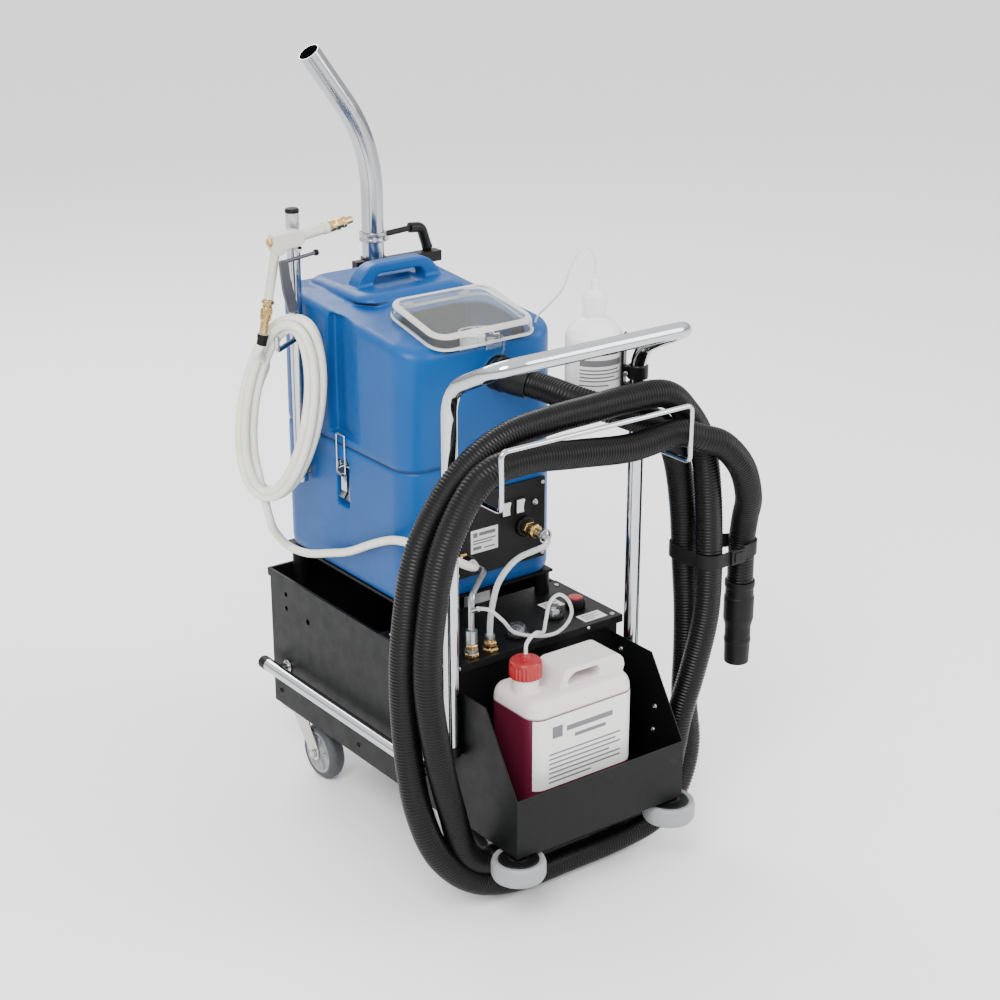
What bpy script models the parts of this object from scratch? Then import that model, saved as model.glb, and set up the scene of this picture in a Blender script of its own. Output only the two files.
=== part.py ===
"""Spot extractor: a wheeled carpet cleaning machine with two stacked tanks.

Lengths in the constants are millimetres. +Z is up, the operator stands at -Y,
and X runs across the machine. The floor is Z = 0.
"""
import math

import bmesh
import bpy
from mathutils import Matrix, Vector

MM = 0.001
ROUND = 20          # facets round an ordinary turned piece
GAP = 0.3           # clearance left between touching pieces
CENTRING = 18.4     # shift along X that puts the origin under the middle of the machine
SHARP = math.radians(38)

# chassis box
BOX_HALF_X = 178.5
BOX_FRONT = -172.0
BOX_REAR = 339.0
BOX_BOTTOM = 125.0
BOX_TOP = 379.0
SHEET = 2.0
RIM_DEPTH = 14.0
RIM_OUT = 3.0

# deck plate over the front of the box
DECK_HALF_X = 181.0
DECK_FRONT = -184.0
DECK_REAR = -6.0
DECK_LIP = 13.0
DECK_TOP = BOX_TOP + GAP + SHEET

# tray that carries the canister
TRAY_HALF_X = 167.0
TRAY_FRONT = -357.0
TRAY_REAR = BOX_FRONT - 0.4
TRAY_BOTTOM = BOX_BOTTOM
TRAY_FRONT_TOP = 222.0
TRAY_SIDE_TOP = 352.0
TRAY_SLOPE_START = -275.0

# chrome tubes
TUBE_RADIUS = 12.5
TUBE_WALL = 1.5
HANDLE_X = 180.0
HANDLE_Y = -206.0
HANDLE_FOOT = 247.0
HANDLE_BEND = 842.0
HANDLE_FRONT = -329.0
HANDLE_TOP = 902.0
HOOK_ROD = 4.0
HOOK_FRONT = -333.0
HOOK_LOW = 690.0
HOOK_HIGH = 781.0
BAR_X = 203.0
BAR_Z = 208.0
BAR_RADIUS = 11.0
BAR_FRONT = -165.0
BAR_REAR = 335.0

# tanks
TANK_HALF_X = 149.0
STAY_END = -TANK_HALF_X - 0.4    # the gun post's stays stop just short of the tank
TANK_FRONT = -50.0
TANK_REAR = 337.0
TANK_CORNER = 45.0
TANK_WALL = 4.0
TANK_BASE = 425.0
SEAM = 653.0
TANK_TOP = 882.0
SLOPE_START = 104.0
SLOPE = 0.235
RECESS_FRONT = 80.0
RECESS_REAR = 176.0
RECESS_LOW = 668.0
RECESS_HIGH = 866.0
RECESS_DEPTH = 18.0
SLOT_Y = 139.0
SLOT_HALF_Y = 18.0
SLOT_LOW = 548.0
SLOT_HIGH = 626.0
SLOT_DEPTH = 14.0
PORT = (22.0, TANK_FRONT, 793.0)
PORT_RADIUS = 21.0
STANDPIPE = (34.0, 20.0)
STANDPIPE_RADIUS = 22.0
STANDPIPE_TOP = 800.0

# lid over the recovery tank's opening
LID_CENTRE = (3.0, 14.0)
LID_HALF = (100.0, 72.0)
LID_HEIGHT = 22.0
LID_WALL = 2.5

# control panel on the lower tank
PANEL_X = (-66.0, 117.0)
PANEL_Z = (459.0, 599.0)
PANEL_THICK = 5.0
SWITCHES = ((38.0, 559.0), (66.0, 559.0))
SWITCH_HALF = (7.5, 11.5)
COUPLING = (75.0, 521.0)
NIPPLE = (-53.0, 497.0)
DECK_UNION = (-76.0, -165.0)
INJECTOR = (-112.0, -165.0)

# bottle, canister
BOTTLE = (135.0, -152.0)
BOTTLE_RADIUS = 45.0
BOTTLE_BASE = 750.0
BOTTLE_RIM = 905.0
CANISTER_X = (-112.0, 92.0)
CANISTER_Y = (-324.0, -206.0)
CANISTER_TOP = 384.0
CAP = (-82.0, -265.0)
CAP_BASE = 377.0

# castors and corner rollers
WHEEL_RADIUS = 50.0
WHEEL_HALF_WIDTH = 16.0
CASTOR_TRAIL = 40.0
CASTORS = {"front_left": (-139.0, -152.0), "front_right": (139.0, -152.0),
           "rear_left": (-139.0, 284.0), "rear_right": (139.0, 284.0)}
ROLLER_X = 153.0
ROLLER_Y = -342.4
ROLLER_RADIUS = 43.0
ROLLER_BOTTOM = 86.0
ROLLER_TOP = 118.0
STUD_RADIUS = 7.0

# spray gun on its post, and the wand behind the tanks
POST = (-164.0, 243.0)
POST_RADIUS = 11.0
POST_FOOT = 566.0
POST_TOP = 1018.0
GUN_Y = 212.0
WAND = (66.0, 363.0)
WAND_RADIUS = 19.0
WAND_FOOT = 300.0
WAND_BEND = 1085.0
WAND_TIP = (-50.0, 1244.0)

# hoses
HOSE_RADIUS = 22.0
SPRAY_RADIUS = 7.0
COIL_CENTRE = (-211.0, 223.0, 704.0)
COIL_ACROSS = (0.568, -0.823)
COIL_HALF = (53.0, 148.0)
COIL_LEAN = 0.2
COIL_BUNDLE = (14.0, 16.0)


def empty_file():
    """Remove whatever the file holds."""
    for ob in list(bpy.data.objects):
        bpy.data.objects.remove(ob, do_unlink=True)


def material(name, colour, roughness, metallic=0.0, alpha=1.0):
    """A Principled material."""
    mat = bpy.data.materials.new(name)
    mat.use_nodes = True
    shader = mat.node_tree.nodes["Principled BSDF"]
    shader.inputs["Base Color"].default_value = (*colour, 1.0)
    shader.inputs["Roughness"].default_value = roughness
    shader.inputs["Metallic"].default_value = metallic
    shader.inputs["Alpha"].default_value = alpha
    mat.diffuse_color = (*colour, alpha)
    return mat


def finish_mesh(name, bm, mat):
    """Turn a bmesh in millimetres into a shaded object in metres."""
    bmesh.ops.scale(bm, vec=(MM, MM, MM), verts=bm.verts)
    bmesh.ops.recalc_face_normals(bm, faces=bm.faces)
    for face in bm.faces:
        face.smooth = True
    for edge in bm.edges:
        edge.smooth = edge.calc_face_angle(0.0) < SHARP
    mesh = bpy.data.meshes.new(name)
    bm.to_mesh(mesh)
    bm.free()
    ob = bpy.data.objects.new(name, mesh)
    bpy.context.scene.collection.objects.link(ob)
    if mat is not None:
        mesh.materials.append(mat)
    return ob


def pivot(ob, x, y, z):
    """Put an object's origin on a point given in millimetres, mesh unmoved."""
    point = Vector((x, y, z)) * MM
    ob.data.transform(Matrix.Translation(-point))
    ob.location = point
    return ob


def combine(base, operand, operation):
    """Add an exact boolean to base and hide its operand."""
    mod = base.modifiers.new(operation.lower() + "_" + operand.name, "BOOLEAN")
    mod.operation = operation
    mod.solver = "EXACT"
    mod.object = operand
    operand.hide_render = True
    operand.display_type = "WIRE"
    return base


def cut(base, operand):
    """Take the operand away from base."""
    return combine(base, operand, "DIFFERENCE")


def add(base, operand):
    """Weld the operand to base."""
    return combine(base, operand, "UNION")


def rounded(half_x, half_y, radius, centre=(0.0, 0.0), steps=6):
    """Points of a rounded rectangle, anticlockwise."""
    points = []
    for sx, sy, start in ((1, 1, 0), (-1, 1, 90), (-1, -1, 180), (1, -1, 270)):
        for step in range(steps + 1):
            angle = math.radians(start + 90.0 * step / steps)
            x = centre[0] + sx * (half_x - radius) + radius * math.cos(angle)
            y = centre[1] + sy * (half_y - radius) + radius * math.sin(angle)
            points.append((x, y))
    return points


def level(outline, z):
    """Lift a flat outline to a height."""
    return [(x, y, z) for x, y in outline]


def loft(name, rings, mat, cap_centres=(None, None)):
    """Skin equal rings into one closed body."""
    bm = bmesh.new()
    rows = [[bm.verts.new(p) for p in ring] for ring in rings]
    count = len(rows[0])
    for low, high in zip(rows, rows[1:]):
        for i in range(count):
            j = (i + 1) % count
            bm.faces.new((low[i], low[j], high[j], high[i]))
    for row, centre, flip in ((rows[0], cap_centres[0], True), (rows[-1], cap_centres[1], False)):
        if centre is None:
            bm.faces.new(row[::-1] if flip else row)
            continue
        hub = bm.verts.new(centre)
        for i in range(count):
            bm.faces.new((row[i], row[(i + 1) % count], hub))
    return finish_mesh(name, bm, mat)


def block(name, x, y, z, mat=None):
    """A box between (low, high) pairs."""
    corners = ((x[1], y[1]), (x[0], y[1]), (x[0], y[0]), (x[1], y[0]))
    return loft(name, [level(corners, z[0]), level(corners, z[1])], mat)


def turned(name, profile, centre, mat=None, axis="Z", facets=ROUND, closed=False):
    """Turn a (radius, height) profile round an axis through centre."""
    bm = bmesh.new()
    rows = []
    for radius, height in profile:
        if radius == 0.0:
            rows.append([bm.verts.new((0.0, 0.0, height))])
            continue
        angles = [2.0 * math.pi * i / facets for i in range(facets)]
        rows.append([bm.verts.new((radius * math.cos(a), radius * math.sin(a), height))
                     for a in angles])
    pairs = list(zip(rows, rows[1:]))
    if closed:
        pairs.append((rows[-1], rows[0]))
    for low, high in pairs:
        for i in range(facets):
            j = (i + 1) % facets
            corner = [low[i % len(low)], low[j % len(low)], high[j % len(high)], high[i % len(high)]]
            bm.faces.new(list(dict.fromkeys(corner)))
    turn = {"Z": Matrix.Identity(4),
            "X": Matrix.Rotation(math.radians(90), 4, "Y"),
            "Y": Matrix.Rotation(math.radians(-90), 4, "X")}[axis]
    bm.transform(Matrix.Translation(Vector(centre)) @ turn)
    return finish_mesh(name, bm, mat)


def rod(name, radius, start, end, mat=None, facets=16):
    """A straight round bar between two points."""
    start, end = Vector(start), Vector(end)
    span = end - start
    bm = bmesh.new()
    turn = span.to_track_quat("Z", "Y").to_matrix().to_4x4()
    bmesh.ops.create_cone(bm, cap_ends=True, segments=facets, radius1=radius, radius2=radius,
                          depth=span.length)
    bm.transform(Matrix.Translation((start + end) * 0.5) @ turn)
    return finish_mesh(name, bm, mat)


def filleted(points, radius, steps=6):
    """Round the inner corners of a route."""
    points = [Vector(p) for p in points]
    route = [points[0]]
    for before, here, after in zip(points, points[1:], points[2:]):
        back = (before - here).normalized()
        ahead = (after - here).normalized()
        half = back.angle(ahead) * 0.5
        reach = radius / math.tan(half)
        start = here + back * reach
        centre = here + (back + ahead).normalized() * (radius / math.sin(half))
        first = start - centre
        last = here + ahead * reach - centre
        for step in range(steps + 1):
            spoke = first.normalized().slerp(last.normalized(), step / steps)
            route.append(centre + spoke * radius)
    route.append(points[-1])
    return route


def swept(name, route, radius, mat, wall=0.0, facets=16):
    """Sweep a circle along a route; a wall leaves the bar hollow."""
    route = [Vector(p) for p in route]
    tangents = []
    for i, here in enumerate(route):
        back = (here - route[i - 1]).normalized() if i else Vector()
        ahead = (route[i + 1] - here).normalized() if i + 1 < len(route) else Vector()
        tangents.append((back + ahead).normalized())
    side = tangents[0].orthogonal().normalized()
    frames = []
    for i, tangent in enumerate(tangents):
        if i:
            side = tangents[i - 1].rotation_difference(tangent) @ side
        frames.append((side.copy(), tangent.cross(side).normalized()))
    bm = bmesh.new()

    def rings(size):
        rows = []
        for here, (u, v) in zip(route, frames):
            row = []
            for i in range(facets):
                angle = 2.0 * math.pi * i / facets
                row.append(bm.verts.new(here + u * size * math.cos(angle) + v * size * math.sin(angle)))
            rows.append(row)
        return rows

    rows = rings(radius)
    if wall:
        rows += rings(radius - wall)[::-1]
    for low, high in zip(rows, rows[1:]):
        for i in range(facets):
            j = (i + 1) % facets
            bm.faces.new((low[i], low[j], high[j], high[i]))
    if wall:
        for i in range(facets):
            j = (i + 1) % facets
            bm.faces.new((rows[-1][i], rows[-1][j], rows[0][j], rows[0][i]))
    else:
        bm.faces.new(rows[0][::-1])
        bm.faces.new(rows[-1])
    return finish_mesh(name, bm, mat)


def plate(name, outline, axis, low, high, mat=None):
    """Extrude a flat outline along an axis; outline is in the other two axes."""
    place = {"X": lambda a, b, t: (t, a, b), "Y": lambda a, b, t: (a, t, b),
             "Z": lambda a, b, t: (a, b, t)}[axis]
    return loft(name, [[place(a, b, t) for a, b in outline] for t in (low, high)], mat)


def smooth_route(points, spacing):
    """Read evenly spaced points from a smooth curve through the given ones."""
    points = [Vector(p) for p in points]
    ends = [points[0] * 2.0 - points[1]] + points + [points[-1] * 2.0 - points[-2]]
    dense = []
    for a, b, c, d in zip(ends, ends[1:], ends[2:], ends[3:]):
        for step in range(20):
            t = step / 20.0
            dense.append(0.5 * ((2 * b) + (c - a) * t + (2 * a - 5 * b + 4 * c - d) * t * t
                                + (3 * b - a - 3 * c + d) * t * t * t))
    dense.append(points[-1])
    total = sum((b - a).length for a, b in zip(dense, dense[1:]))
    count = max(2, round(total / spacing))
    route, travelled, mark = [dense[0]], 0.0, total / count
    for a, b in zip(dense, dense[1:]):
        travelled += (b - a).length
        if travelled >= mark * len(route) and len(route) < count:
            route.append(b)
    route.append(dense[-1])
    inset = min(6.0, spacing / 3)
    first = points[0] + (points[1] - points[0]).normalized() * inset
    last = points[-1] + (points[-2] - points[-1]).normalized() * inset
    return route[:1] + [first] + route[1:-1] + [last] + route[-1:]


def hose(name, points, radius, spacing, resolution, mat):
    """A flexible tube: a capped round bevel on a polyline."""
    route = smooth_route(points, spacing)
    curve = bpy.data.curves.new(name, "CURVE")
    curve.dimensions = "3D"
    curve.bevel_depth = radius * MM
    curve.bevel_resolution = resolution
    curve.use_fill_caps = True
    line = curve.splines.new("POLY")
    line.points.add(len(route) - 1)
    for point, here in zip(line.points, route):
        point.co = (*(here * MM), 1.0)
    curve.materials.append(mat)
    ob = bpy.data.objects.new(name, curve)
    bpy.context.scene.collection.objects.link(ob)
    return ob


def chassis(mats):
    """The open-topped sheet metal box on the castors."""
    x, y = BOX_HALF_X, (BOX_FRONT, BOX_REAR)
    box = block("chassis", (-x, x), y, (BOX_BOTTOM, BOX_TOP), mats["black"])
    out = RIM_OUT
    rim = block("rim_operand", (-x - out, x + out), (y[0] - out, y[1] + out),
                (BOX_TOP - RIM_DEPTH, BOX_TOP))
    well = block("well_operand", (SHEET - x, x - SHEET), (y[0] + SHEET, y[1] - SHEET),
                 (BOX_BOTTOM + SHEET, BOX_TOP + 20.0))
    cut(add(box, rim), well)


def deck_plate(mats):
    """Folded cover over the front of the box, with one hose fitting."""
    low = BOX_TOP + GAP
    deck = block("deck_plate", (-DECK_HALF_X, DECK_HALF_X), (DECK_FRONT, DECK_REAR),
                 (low, DECK_TOP), mats["black"])
    lip = block("lip_operand", (-DECK_HALF_X, DECK_HALF_X), (DECK_FRONT, DECK_FRONT + SHEET),
                (DECK_TOP - DECK_LIP, DECK_TOP - 0.5))
    add(deck, lip)
    fitting = turned("deck_fitting_operand", [(0, low + 1), (11, low + 1), (11, 389), (8, 390),
                                              (8, 400), (0, 400)], (*DECK_UNION, 0.0), facets=12)
    add(deck, fitting)


def canister_tray(mats):
    """Sheet tray with sloping cheeks; its two studs carry the corner rollers."""
    cheek = [(TRAY_REAR, TRAY_BOTTOM), (TRAY_REAR, TRAY_SIDE_TOP),
             (TRAY_SLOPE_START, TRAY_SIDE_TOP), (TRAY_FRONT, TRAY_FRONT_TOP),
             (TRAY_FRONT, TRAY_BOTTOM)]
    tray = plate("canister_tray", cheek, "X", -TRAY_HALF_X, TRAY_HALF_X, mats["black"])
    inside = block("tray_operand", (SHEET - TRAY_HALF_X, TRAY_HALF_X - SHEET),
                   (TRAY_FRONT + SHEET, TRAY_REAR + 20.0),
                   (TRAY_BOTTOM + SHEET, TRAY_SIDE_TOP + 20.0))
    cut(tray, inside)
    for side in (-1, 1):
        stud = turned("stud_operand", [(0, 79), (12, 79), (12, ROLLER_BOTTOM - GAP),
                                       (STUD_RADIUS, ROLLER_BOTTOM - GAP),
                                       (STUD_RADIUS, TRAY_BOTTOM + 1), (0, TRAY_BOTTOM + 1)],
                      (side * ROLLER_X, ROLLER_Y, 0.0))
        add(tray, stud)


def frame_tubes(mats):
    """Push handle, hose hook and the two side bars."""
    x = HANDLE_X
    side = [(x, HANDLE_Y, HANDLE_FOOT), (x, HANDLE_Y, HANDLE_BEND), (x, HANDLE_FRONT, HANDLE_TOP)]
    mirror = [(-a, b, c) for a, b, c in reversed(side)]
    swept("push_handle", filleted(side + mirror, 42.0, 4), TUBE_RADIUS, mats["chrome"], TUBE_WALL,
          facets=12)
    start = HANDLE_Y - TUBE_RADIUS - GAP
    half = [(x, start, HOOK_LOW), (x, HOOK_FRONT, HOOK_LOW), (x, HOOK_FRONT, HOOK_HIGH)]
    mirror = [(-a, b, c) for a, b, c in reversed(half)]
    swept("hose_hook", filleted(half + mirror, 9.0, 3), HOOK_ROD, mats["chrome"], facets=10)
    for name, side in (("left", -1), ("right", 1)):
        bar = rod("side_bar_" + name, BAR_RADIUS, (side * BAR_X, BAR_FRONT, BAR_Z),
                  (side * BAR_X, BAR_REAR, BAR_Z), mats["chrome"])
        for y in (-120.0, 290.0):
            arm = rod("arm_operand", 7.0, (side * (BAR_X - 2), y, BAR_Z),
                      (side * (BOX_HALF_X + GAP), y, BAR_Z), facets=12)
            add(bar, arm)


def tank_stand(mats):
    """Flat frame under the tanks on four round legs."""
    frame = block("tank_stand", (-144.0, 144.0), (-44.0, 331.0), (TANK_BASE - 5, TANK_BASE - GAP),
                  mats["black"])
    cut(frame, block("frame_operand", (-116.0, 116.0), (-16.0, 303.0), (400.0, 440.0)))
    legs = ((-131.0, -31.0, DECK_TOP + GAP), (131.0, -31.0, DECK_TOP + GAP),
            (-131.0, 316.0, BOX_BOTTOM + SHEET + GAP), (131.0, 316.0, BOX_BOTTOM + SHEET + GAP))
    for x, y, foot in legs:
        add(frame, rod("leg_operand", TUBE_RADIUS, (x, y, foot), (x, y, TANK_BASE - 1)))


def tank_outline(inset, corner=TANK_CORNER):
    """Plan of the tanks, drawn in by an inset."""
    middle = (TANK_FRONT + TANK_REAR) / 2
    half_y = (TANK_REAR - TANK_FRONT) / 2
    return rounded(TANK_HALF_X - inset, half_y - inset, corner - inset, (0.0, middle))


def top_height(y):
    """Height of the recovery tank's roof: flat behind, sloping down in front."""
    return TANK_TOP - SLOPE * max(0.0, SLOPE_START - y)


def roofed(outline, below):
    """Lay an outline on the roof, some way below it."""
    return [(x, y, top_height(y) - below) for x, y in outline]


def latch_slot(grow):
    """Cutter for the slot the latch lies in."""
    depth = SLOT_DEPTH + grow
    return block("slot_operand", (-TANK_HALF_X - 10.0, depth - TANK_HALF_X),
                 (SLOT_Y - SLOT_HALF_Y - grow, SLOT_Y + SLOT_HALF_Y + grow),
                 (SLOT_LOW - grow, SLOT_HIGH + grow))


def solution_tank(mats):
    """The lower tank: an open tub with a slot for the latch."""
    rings = [level(tank_outline(12), TANK_BASE), level(tank_outline(4), TANK_BASE + 3),
             level(tank_outline(0), TANK_BASE + 14), level(tank_outline(0), SEAM - 6),
             level(tank_outline(2), SEAM - GAP)]
    tank = loft("solution_tank", rings, mats["blue"])
    hollow = loft("solution_operand", [level(tank_outline(14), TANK_BASE + TANK_WALL),
                                       level(tank_outline(TANK_WALL), TANK_BASE + 16),
                                       level(tank_outline(TANK_WALL), SEAM - 6),
                                       level(tank_outline(TANK_WALL + 2), SEAM + 10)], None)
    cut(hollow, latch_slot(TANK_WALL))
    cut(tank, latch_slot(0.0))
    cut(tank, hollow)
    cut(tank, rod("floor_operand", STANDPIPE_RADIUS + 0.6, (*STANDPIPE, TANK_BASE - 10),
                  (*STANDPIPE, TANK_BASE + 20), facets=ROUND))


def side_recess(side, grow):
    """Cutter for the tapering recess in a flank of the recovery tank."""
    outer = side * (TANK_HALF_X + 10.0)
    deep = side * (TANK_HALF_X - RECESS_DEPTH - grow)
    shallow = side * (TANK_HALF_X + 0.5 - grow)
    outline = [(outer, RECESS_FRONT), (outer, RECESS_REAR + grow), (deep, RECESS_REAR + grow),
               (deep, RECESS_REAR - 16), (shallow, RECESS_FRONT)]
    return plate("recess_operand", outline, "Z", RECESS_LOW - grow, RECESS_HIGH + grow)


def recovery_tank(mats):
    """The upper tank: closed, with a lid opening, hose port and carrying handle."""
    base = SEAM
    edge = [(0.0, 16.0), (1.2, 10.0), (4.6, 4.6), (10.0, 1.2), (16.0, 0.0)]
    rings = [level(tank_outline(2), base), level(tank_outline(0), base + 6)]
    rings += [roofed(tank_outline(2 + inset), below) for inset, below in edge]
    hub = (0.0, SLOPE_START, TANK_TOP)
    tank = loft("recovery_tank", rings, mats["blue"], (None, hub))
    wall = TANK_WALL
    rings = [level(tank_outline(wall + 8), base + wall), level(tank_outline(wall), base + 12),
             roofed(tank_outline(wall + 2), 22), roofed(tank_outline(wall + 12), wall + 1),
             roofed(tank_outline(wall + 16), wall)]
    hollow = loft("recovery_operand", rings, None, (None, (0.0, SLOPE_START, TANK_TOP - wall)))
    for side in (-1, 1):
        cut(hollow, side_recess(side, wall))
        cut(tank, side_recess(side, 0.0))
    mound = loft("mound_operand", [level(rounded(104, 96, 34, (0, 222)), TANK_TOP - 3),
                                   level(rounded(100, 92, 30, (0, 222)), TANK_TOP + 5),
                                   level(rounded(88, 80, 24, (0, 222)), TANK_TOP + 11)], None)
    add(tank, mound)
    arch = [(-82, TANK_TOP - 2), (82, TANK_TOP - 2), (82, 900), (56, 928), (-56, 928), (-82, 900)]
    handle = plate("handle_operand", arch, "Y", 184.0, 214.0)
    grip = [(-50, TANK_TOP + 2), (50, TANK_TOP + 2), (50, 900), (40, 911), (-40, 911), (-50, 900)]
    add(tank, handle)
    cut(tank, plate("grip_operand", grip, "Y", 170.0, 230.0))
    x, y, z = PORT
    add(tank, rod("port_operand", PORT_RADIUS + 4, (x, y - 8, z), (x, y + 2, z), facets=ROUND))
    cut(tank, hollow)
    cut(tank, rod("bore_operand", PORT_RADIUS, (x, y - 20, z), (x, y + 20, z), facets=ROUND))
    mouth = rounded(LID_HALF[0] - 12, LID_HALF[1] - 12, 22, LID_CENTRE, 4)
    cut(tank, loft("mouth_operand", [level(mouth, 820), level(mouth, 920)], None))
    cut(tank, rod("sleeve_operand", STANDPIPE_RADIUS + 0.6, (*STANDPIPE, base - 10),
                  (*STANDPIPE, base + 20), facets=ROUND))


def tank_lid(mats):
    """Clear box lid lying on the sloping roof, hinged along its back edge."""
    def ring(inset, above):
        outline = rounded(LID_HALF[0] - inset, LID_HALF[1] - inset, 30 - inset, LID_CENTRE, 5)
        return [(x, y, TANK_TOP - SLOPE * (SLOPE_START - y) + above) for x, y in outline]
    lift = 0.4
    lid = loft("tank_lid", [ring(LID_WALL + 4, LID_HEIGHT - LID_WALL), ring(LID_WALL + 1, 16),
                            ring(LID_WALL, lift), ring(0, lift), ring(1, 17),
                            ring(4, LID_HEIGHT)], mats["clear"])
    y = LID_CENTRE[1] + LID_HALF[1] + 3
    pivot(lid, LID_CENTRE[0], y, top_height(y) + 5)


def latch(mats):
    """Toggle latch: a lever in the slot, and the wire bail it pulls."""
    lever_x, lever_z = -TANK_HALF_X + 7, SLOT_HIGH - 10
    eye_x, eye_z = -TANK_HALF_X - 2.6, SLOT_HIGH - 20
    outline = [(lever_x - 2, lever_z + 5), (lever_x + 3, lever_z + 3), (lever_x + 1, eye_z - 4),
               (lever_x - 2, SLOT_LOW + 22), (lever_x - 9, SLOT_LOW + 14),
               (lever_x - 11, SLOT_LOW + 16), (lever_x - 5, SLOT_LOW + 26), (lever_x - 5, eye_z - 3),
               (eye_x - 1, eye_z - 4.6), (eye_x - 4.6, eye_z - 2), (eye_x - 4.6, eye_z + 2),
               (eye_x - 1, eye_z + 4.6)]
    flat = [(x, z) for x, z in outline]
    lever = plate("latch_lever", flat, "Y", SLOT_Y - 8, SLOT_Y + 8, mats["chrome"])
    pin = rod("pin_operand", 2.0, (lever_x, SLOT_Y - SLOT_HALF_Y + 0.5, lever_z),
              (lever_x, SLOT_Y + SLOT_HALF_Y - 0.5, lever_z), facets=10)
    add(lever, pin)
    cut(lever, rod("eye_operand", 2.2, (eye_x, SLOT_Y - 20, eye_z), (eye_x, SLOT_Y + 20, eye_z),
                   facets=12))
    pivot(lever, lever_x, SLOT_Y, lever_z)
    half, top = 12.0, RECESS_LOW + 4
    loop = [(eye_x, SLOT_Y, eye_z), (eye_x, SLOT_Y + half, eye_z), (eye_x, SLOT_Y + half, top),
            (eye_x, SLOT_Y - half, top), (eye_x, SLOT_Y - half, eye_z), (eye_x, SLOT_Y, eye_z)]
    bail = wire_loop("latch_bail", filleted(loop, 3.5, 3)[:-1], 1.6, mats["chrome"])
    pivot(bail, eye_x, SLOT_Y, eye_z)


def wire_loop(name, route, radius, mat, facets=8):
    """A closed ring of round wire lying in a plane of constant X."""
    count = len(route)
    bm = bmesh.new()
    rows = []
    for i, here in enumerate(route):
        ahead = route[(i + 1) % count] - route[i - 1]
        across = ahead.cross(Vector((1, 0, 0))).normalized()
        row = []
        for k in range(facets):
            angle = 2.0 * math.pi * k / facets
            row.append(bm.verts.new(here + across * radius * math.cos(angle)
                                    + Vector((radius * math.sin(angle), 0, 0))))
        rows.append(row)
    for low, high in zip(rows, rows[1:] + rows[:1]):
        for k in range(facets):
            j = (k + 1) % facets
            bm.faces.new((low[k], low[j], high[j], high[k]))
    return finish_mesh(name, bm, mat)


def control_panel(mats):
    """Panel with two rocker switches, a brass coupling and two hose nipples."""
    back = TANK_FRONT - GAP
    front = back - PANEL_THICK
    panel = block("control_panel", PANEL_X, (front, back), PANEL_Z, mats["black"])
    half_x, half_z = SWITCH_HALF
    for name, (x, z) in zip(("switch_left", "switch_right"), SWITCHES):
        hole = block("hole_operand", (x - half_x - 0.5, x + half_x + 0.5), (front - 5, back + 5),
                     (z - half_z - 0.8, z + half_z + 0.8))
        cut(panel, hole)
        tilt = math.radians(7)
        axis_y = front + 1.3
        chevron = [(0.0, -half_z), (0.0, half_z), (-4.4, half_z), (-2.4, 0.0), (-4.4, -half_z)]
        turned_face = [(axis_y + y * math.cos(tilt) - z_ * math.sin(tilt),
                        z + y * math.sin(tilt) + z_ * math.cos(tilt)) for y, z_ in chevron]
        rocker = plate(name, turned_face, "X", x - half_x, x + half_x, mats["white"])
        pivot(rocker, x, axis_y, z)
    for x, z in (NIPPLE, (-38.0, 484.0)):
        nipple = turned("nipple_operand", [(0, 1), (9, 1), (9, -5), (6, -6), (6, -15), (0, -15)],
                        (x, front, z), axis="Y", facets=12)
        add(panel, nipple)
    x, z = COUPLING
    profile = [(0, -0.3), (14, -0.3), (14, -6), (10, -7), (10, -20), (12, -21), (12, -32), (8, -34),
               (8, -48), (0, -48)]
    turned("panel_coupling", profile, (x, front, z), mats["brass"], "Y", 20)


def plan_strip(name, start, end, width, low, high):
    """A flat bar between two plan points."""
    a, b = Vector(start), Vector(end)
    across = Vector((-(b - a).y, (b - a).x)).normalized() * width / 2
    outline = [tuple(p) for p in (a + across, a - across, b - across, b + across)]
    return plate(name, outline, "Z", low, high)


def anti_foam(mats):
    """Bottle, cap and the bracket that holds the bottle on the handle tube."""
    rim = BOTTLE_RIM
    r = BOTTLE_RADIUS
    outer = [(0, 750), (r - 5, 750), (r, 756), (r, 858), (r - 6, 873), (24, 884), (16, 888), (16, rim)]
    inner = [(14, rim), (14, 886), (22, 882), (r - 8, 871), (r - 2, 857), (r - 2, 757), (r - 6, 752),
             (0, 752)]
    x, y = BOTTLE
    turned("antifoam_bottle", outer + inner, (x, y, 0), mats["white"])
    cap = [(0, rim + 0.4), (16.4, rim + 0.4), (16.4, 889), (18.5, 889), (18.5, 926), (14, 929),
           (6.5, 929), (6.5, 945), (3, 948), (3, 955), (0, 955)]
    pivot(turned("bottle_cap", cap, (x, y, 0), mats["white"], facets=20), x, y, rim)
    ring = [(r + 0.4, 752), (r + 3, 752), (r + 3, 766), (r + 0.4, 766)]
    holder = turned("bottle_holder", ring, (x, y, 0), mats["black"], closed=True)
    tube = Vector((HANDLE_X, HANDLE_Y))
    here = Vector((x, y))
    reach = (tube - here).normalized()
    add(holder, plan_strip("strap_operand", here + reach * (r + 1.4), here + reach * (r + 5), 26, 745, 862))
    add(holder, plan_strip("floor_operand", here, here + reach * (r + 3), 44, 745.4, 749.6))
    for low in (765, 793):
        collar = [(TUBE_RADIUS + 0.4, low), (TUBE_RADIUS + 4, low), (TUBE_RADIUS + 4, low + 20),
                  (TUBE_RADIUS + 0.4, low + 20)]
        add(holder, plan_strip("tie_operand", here + reach * (r + 3), here + reach * (r + 11), 14,
                               low + 2, low + 18))
        add(holder, turned("collar_operand", collar, (*tube, 0), facets=20, closed=True))


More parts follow.
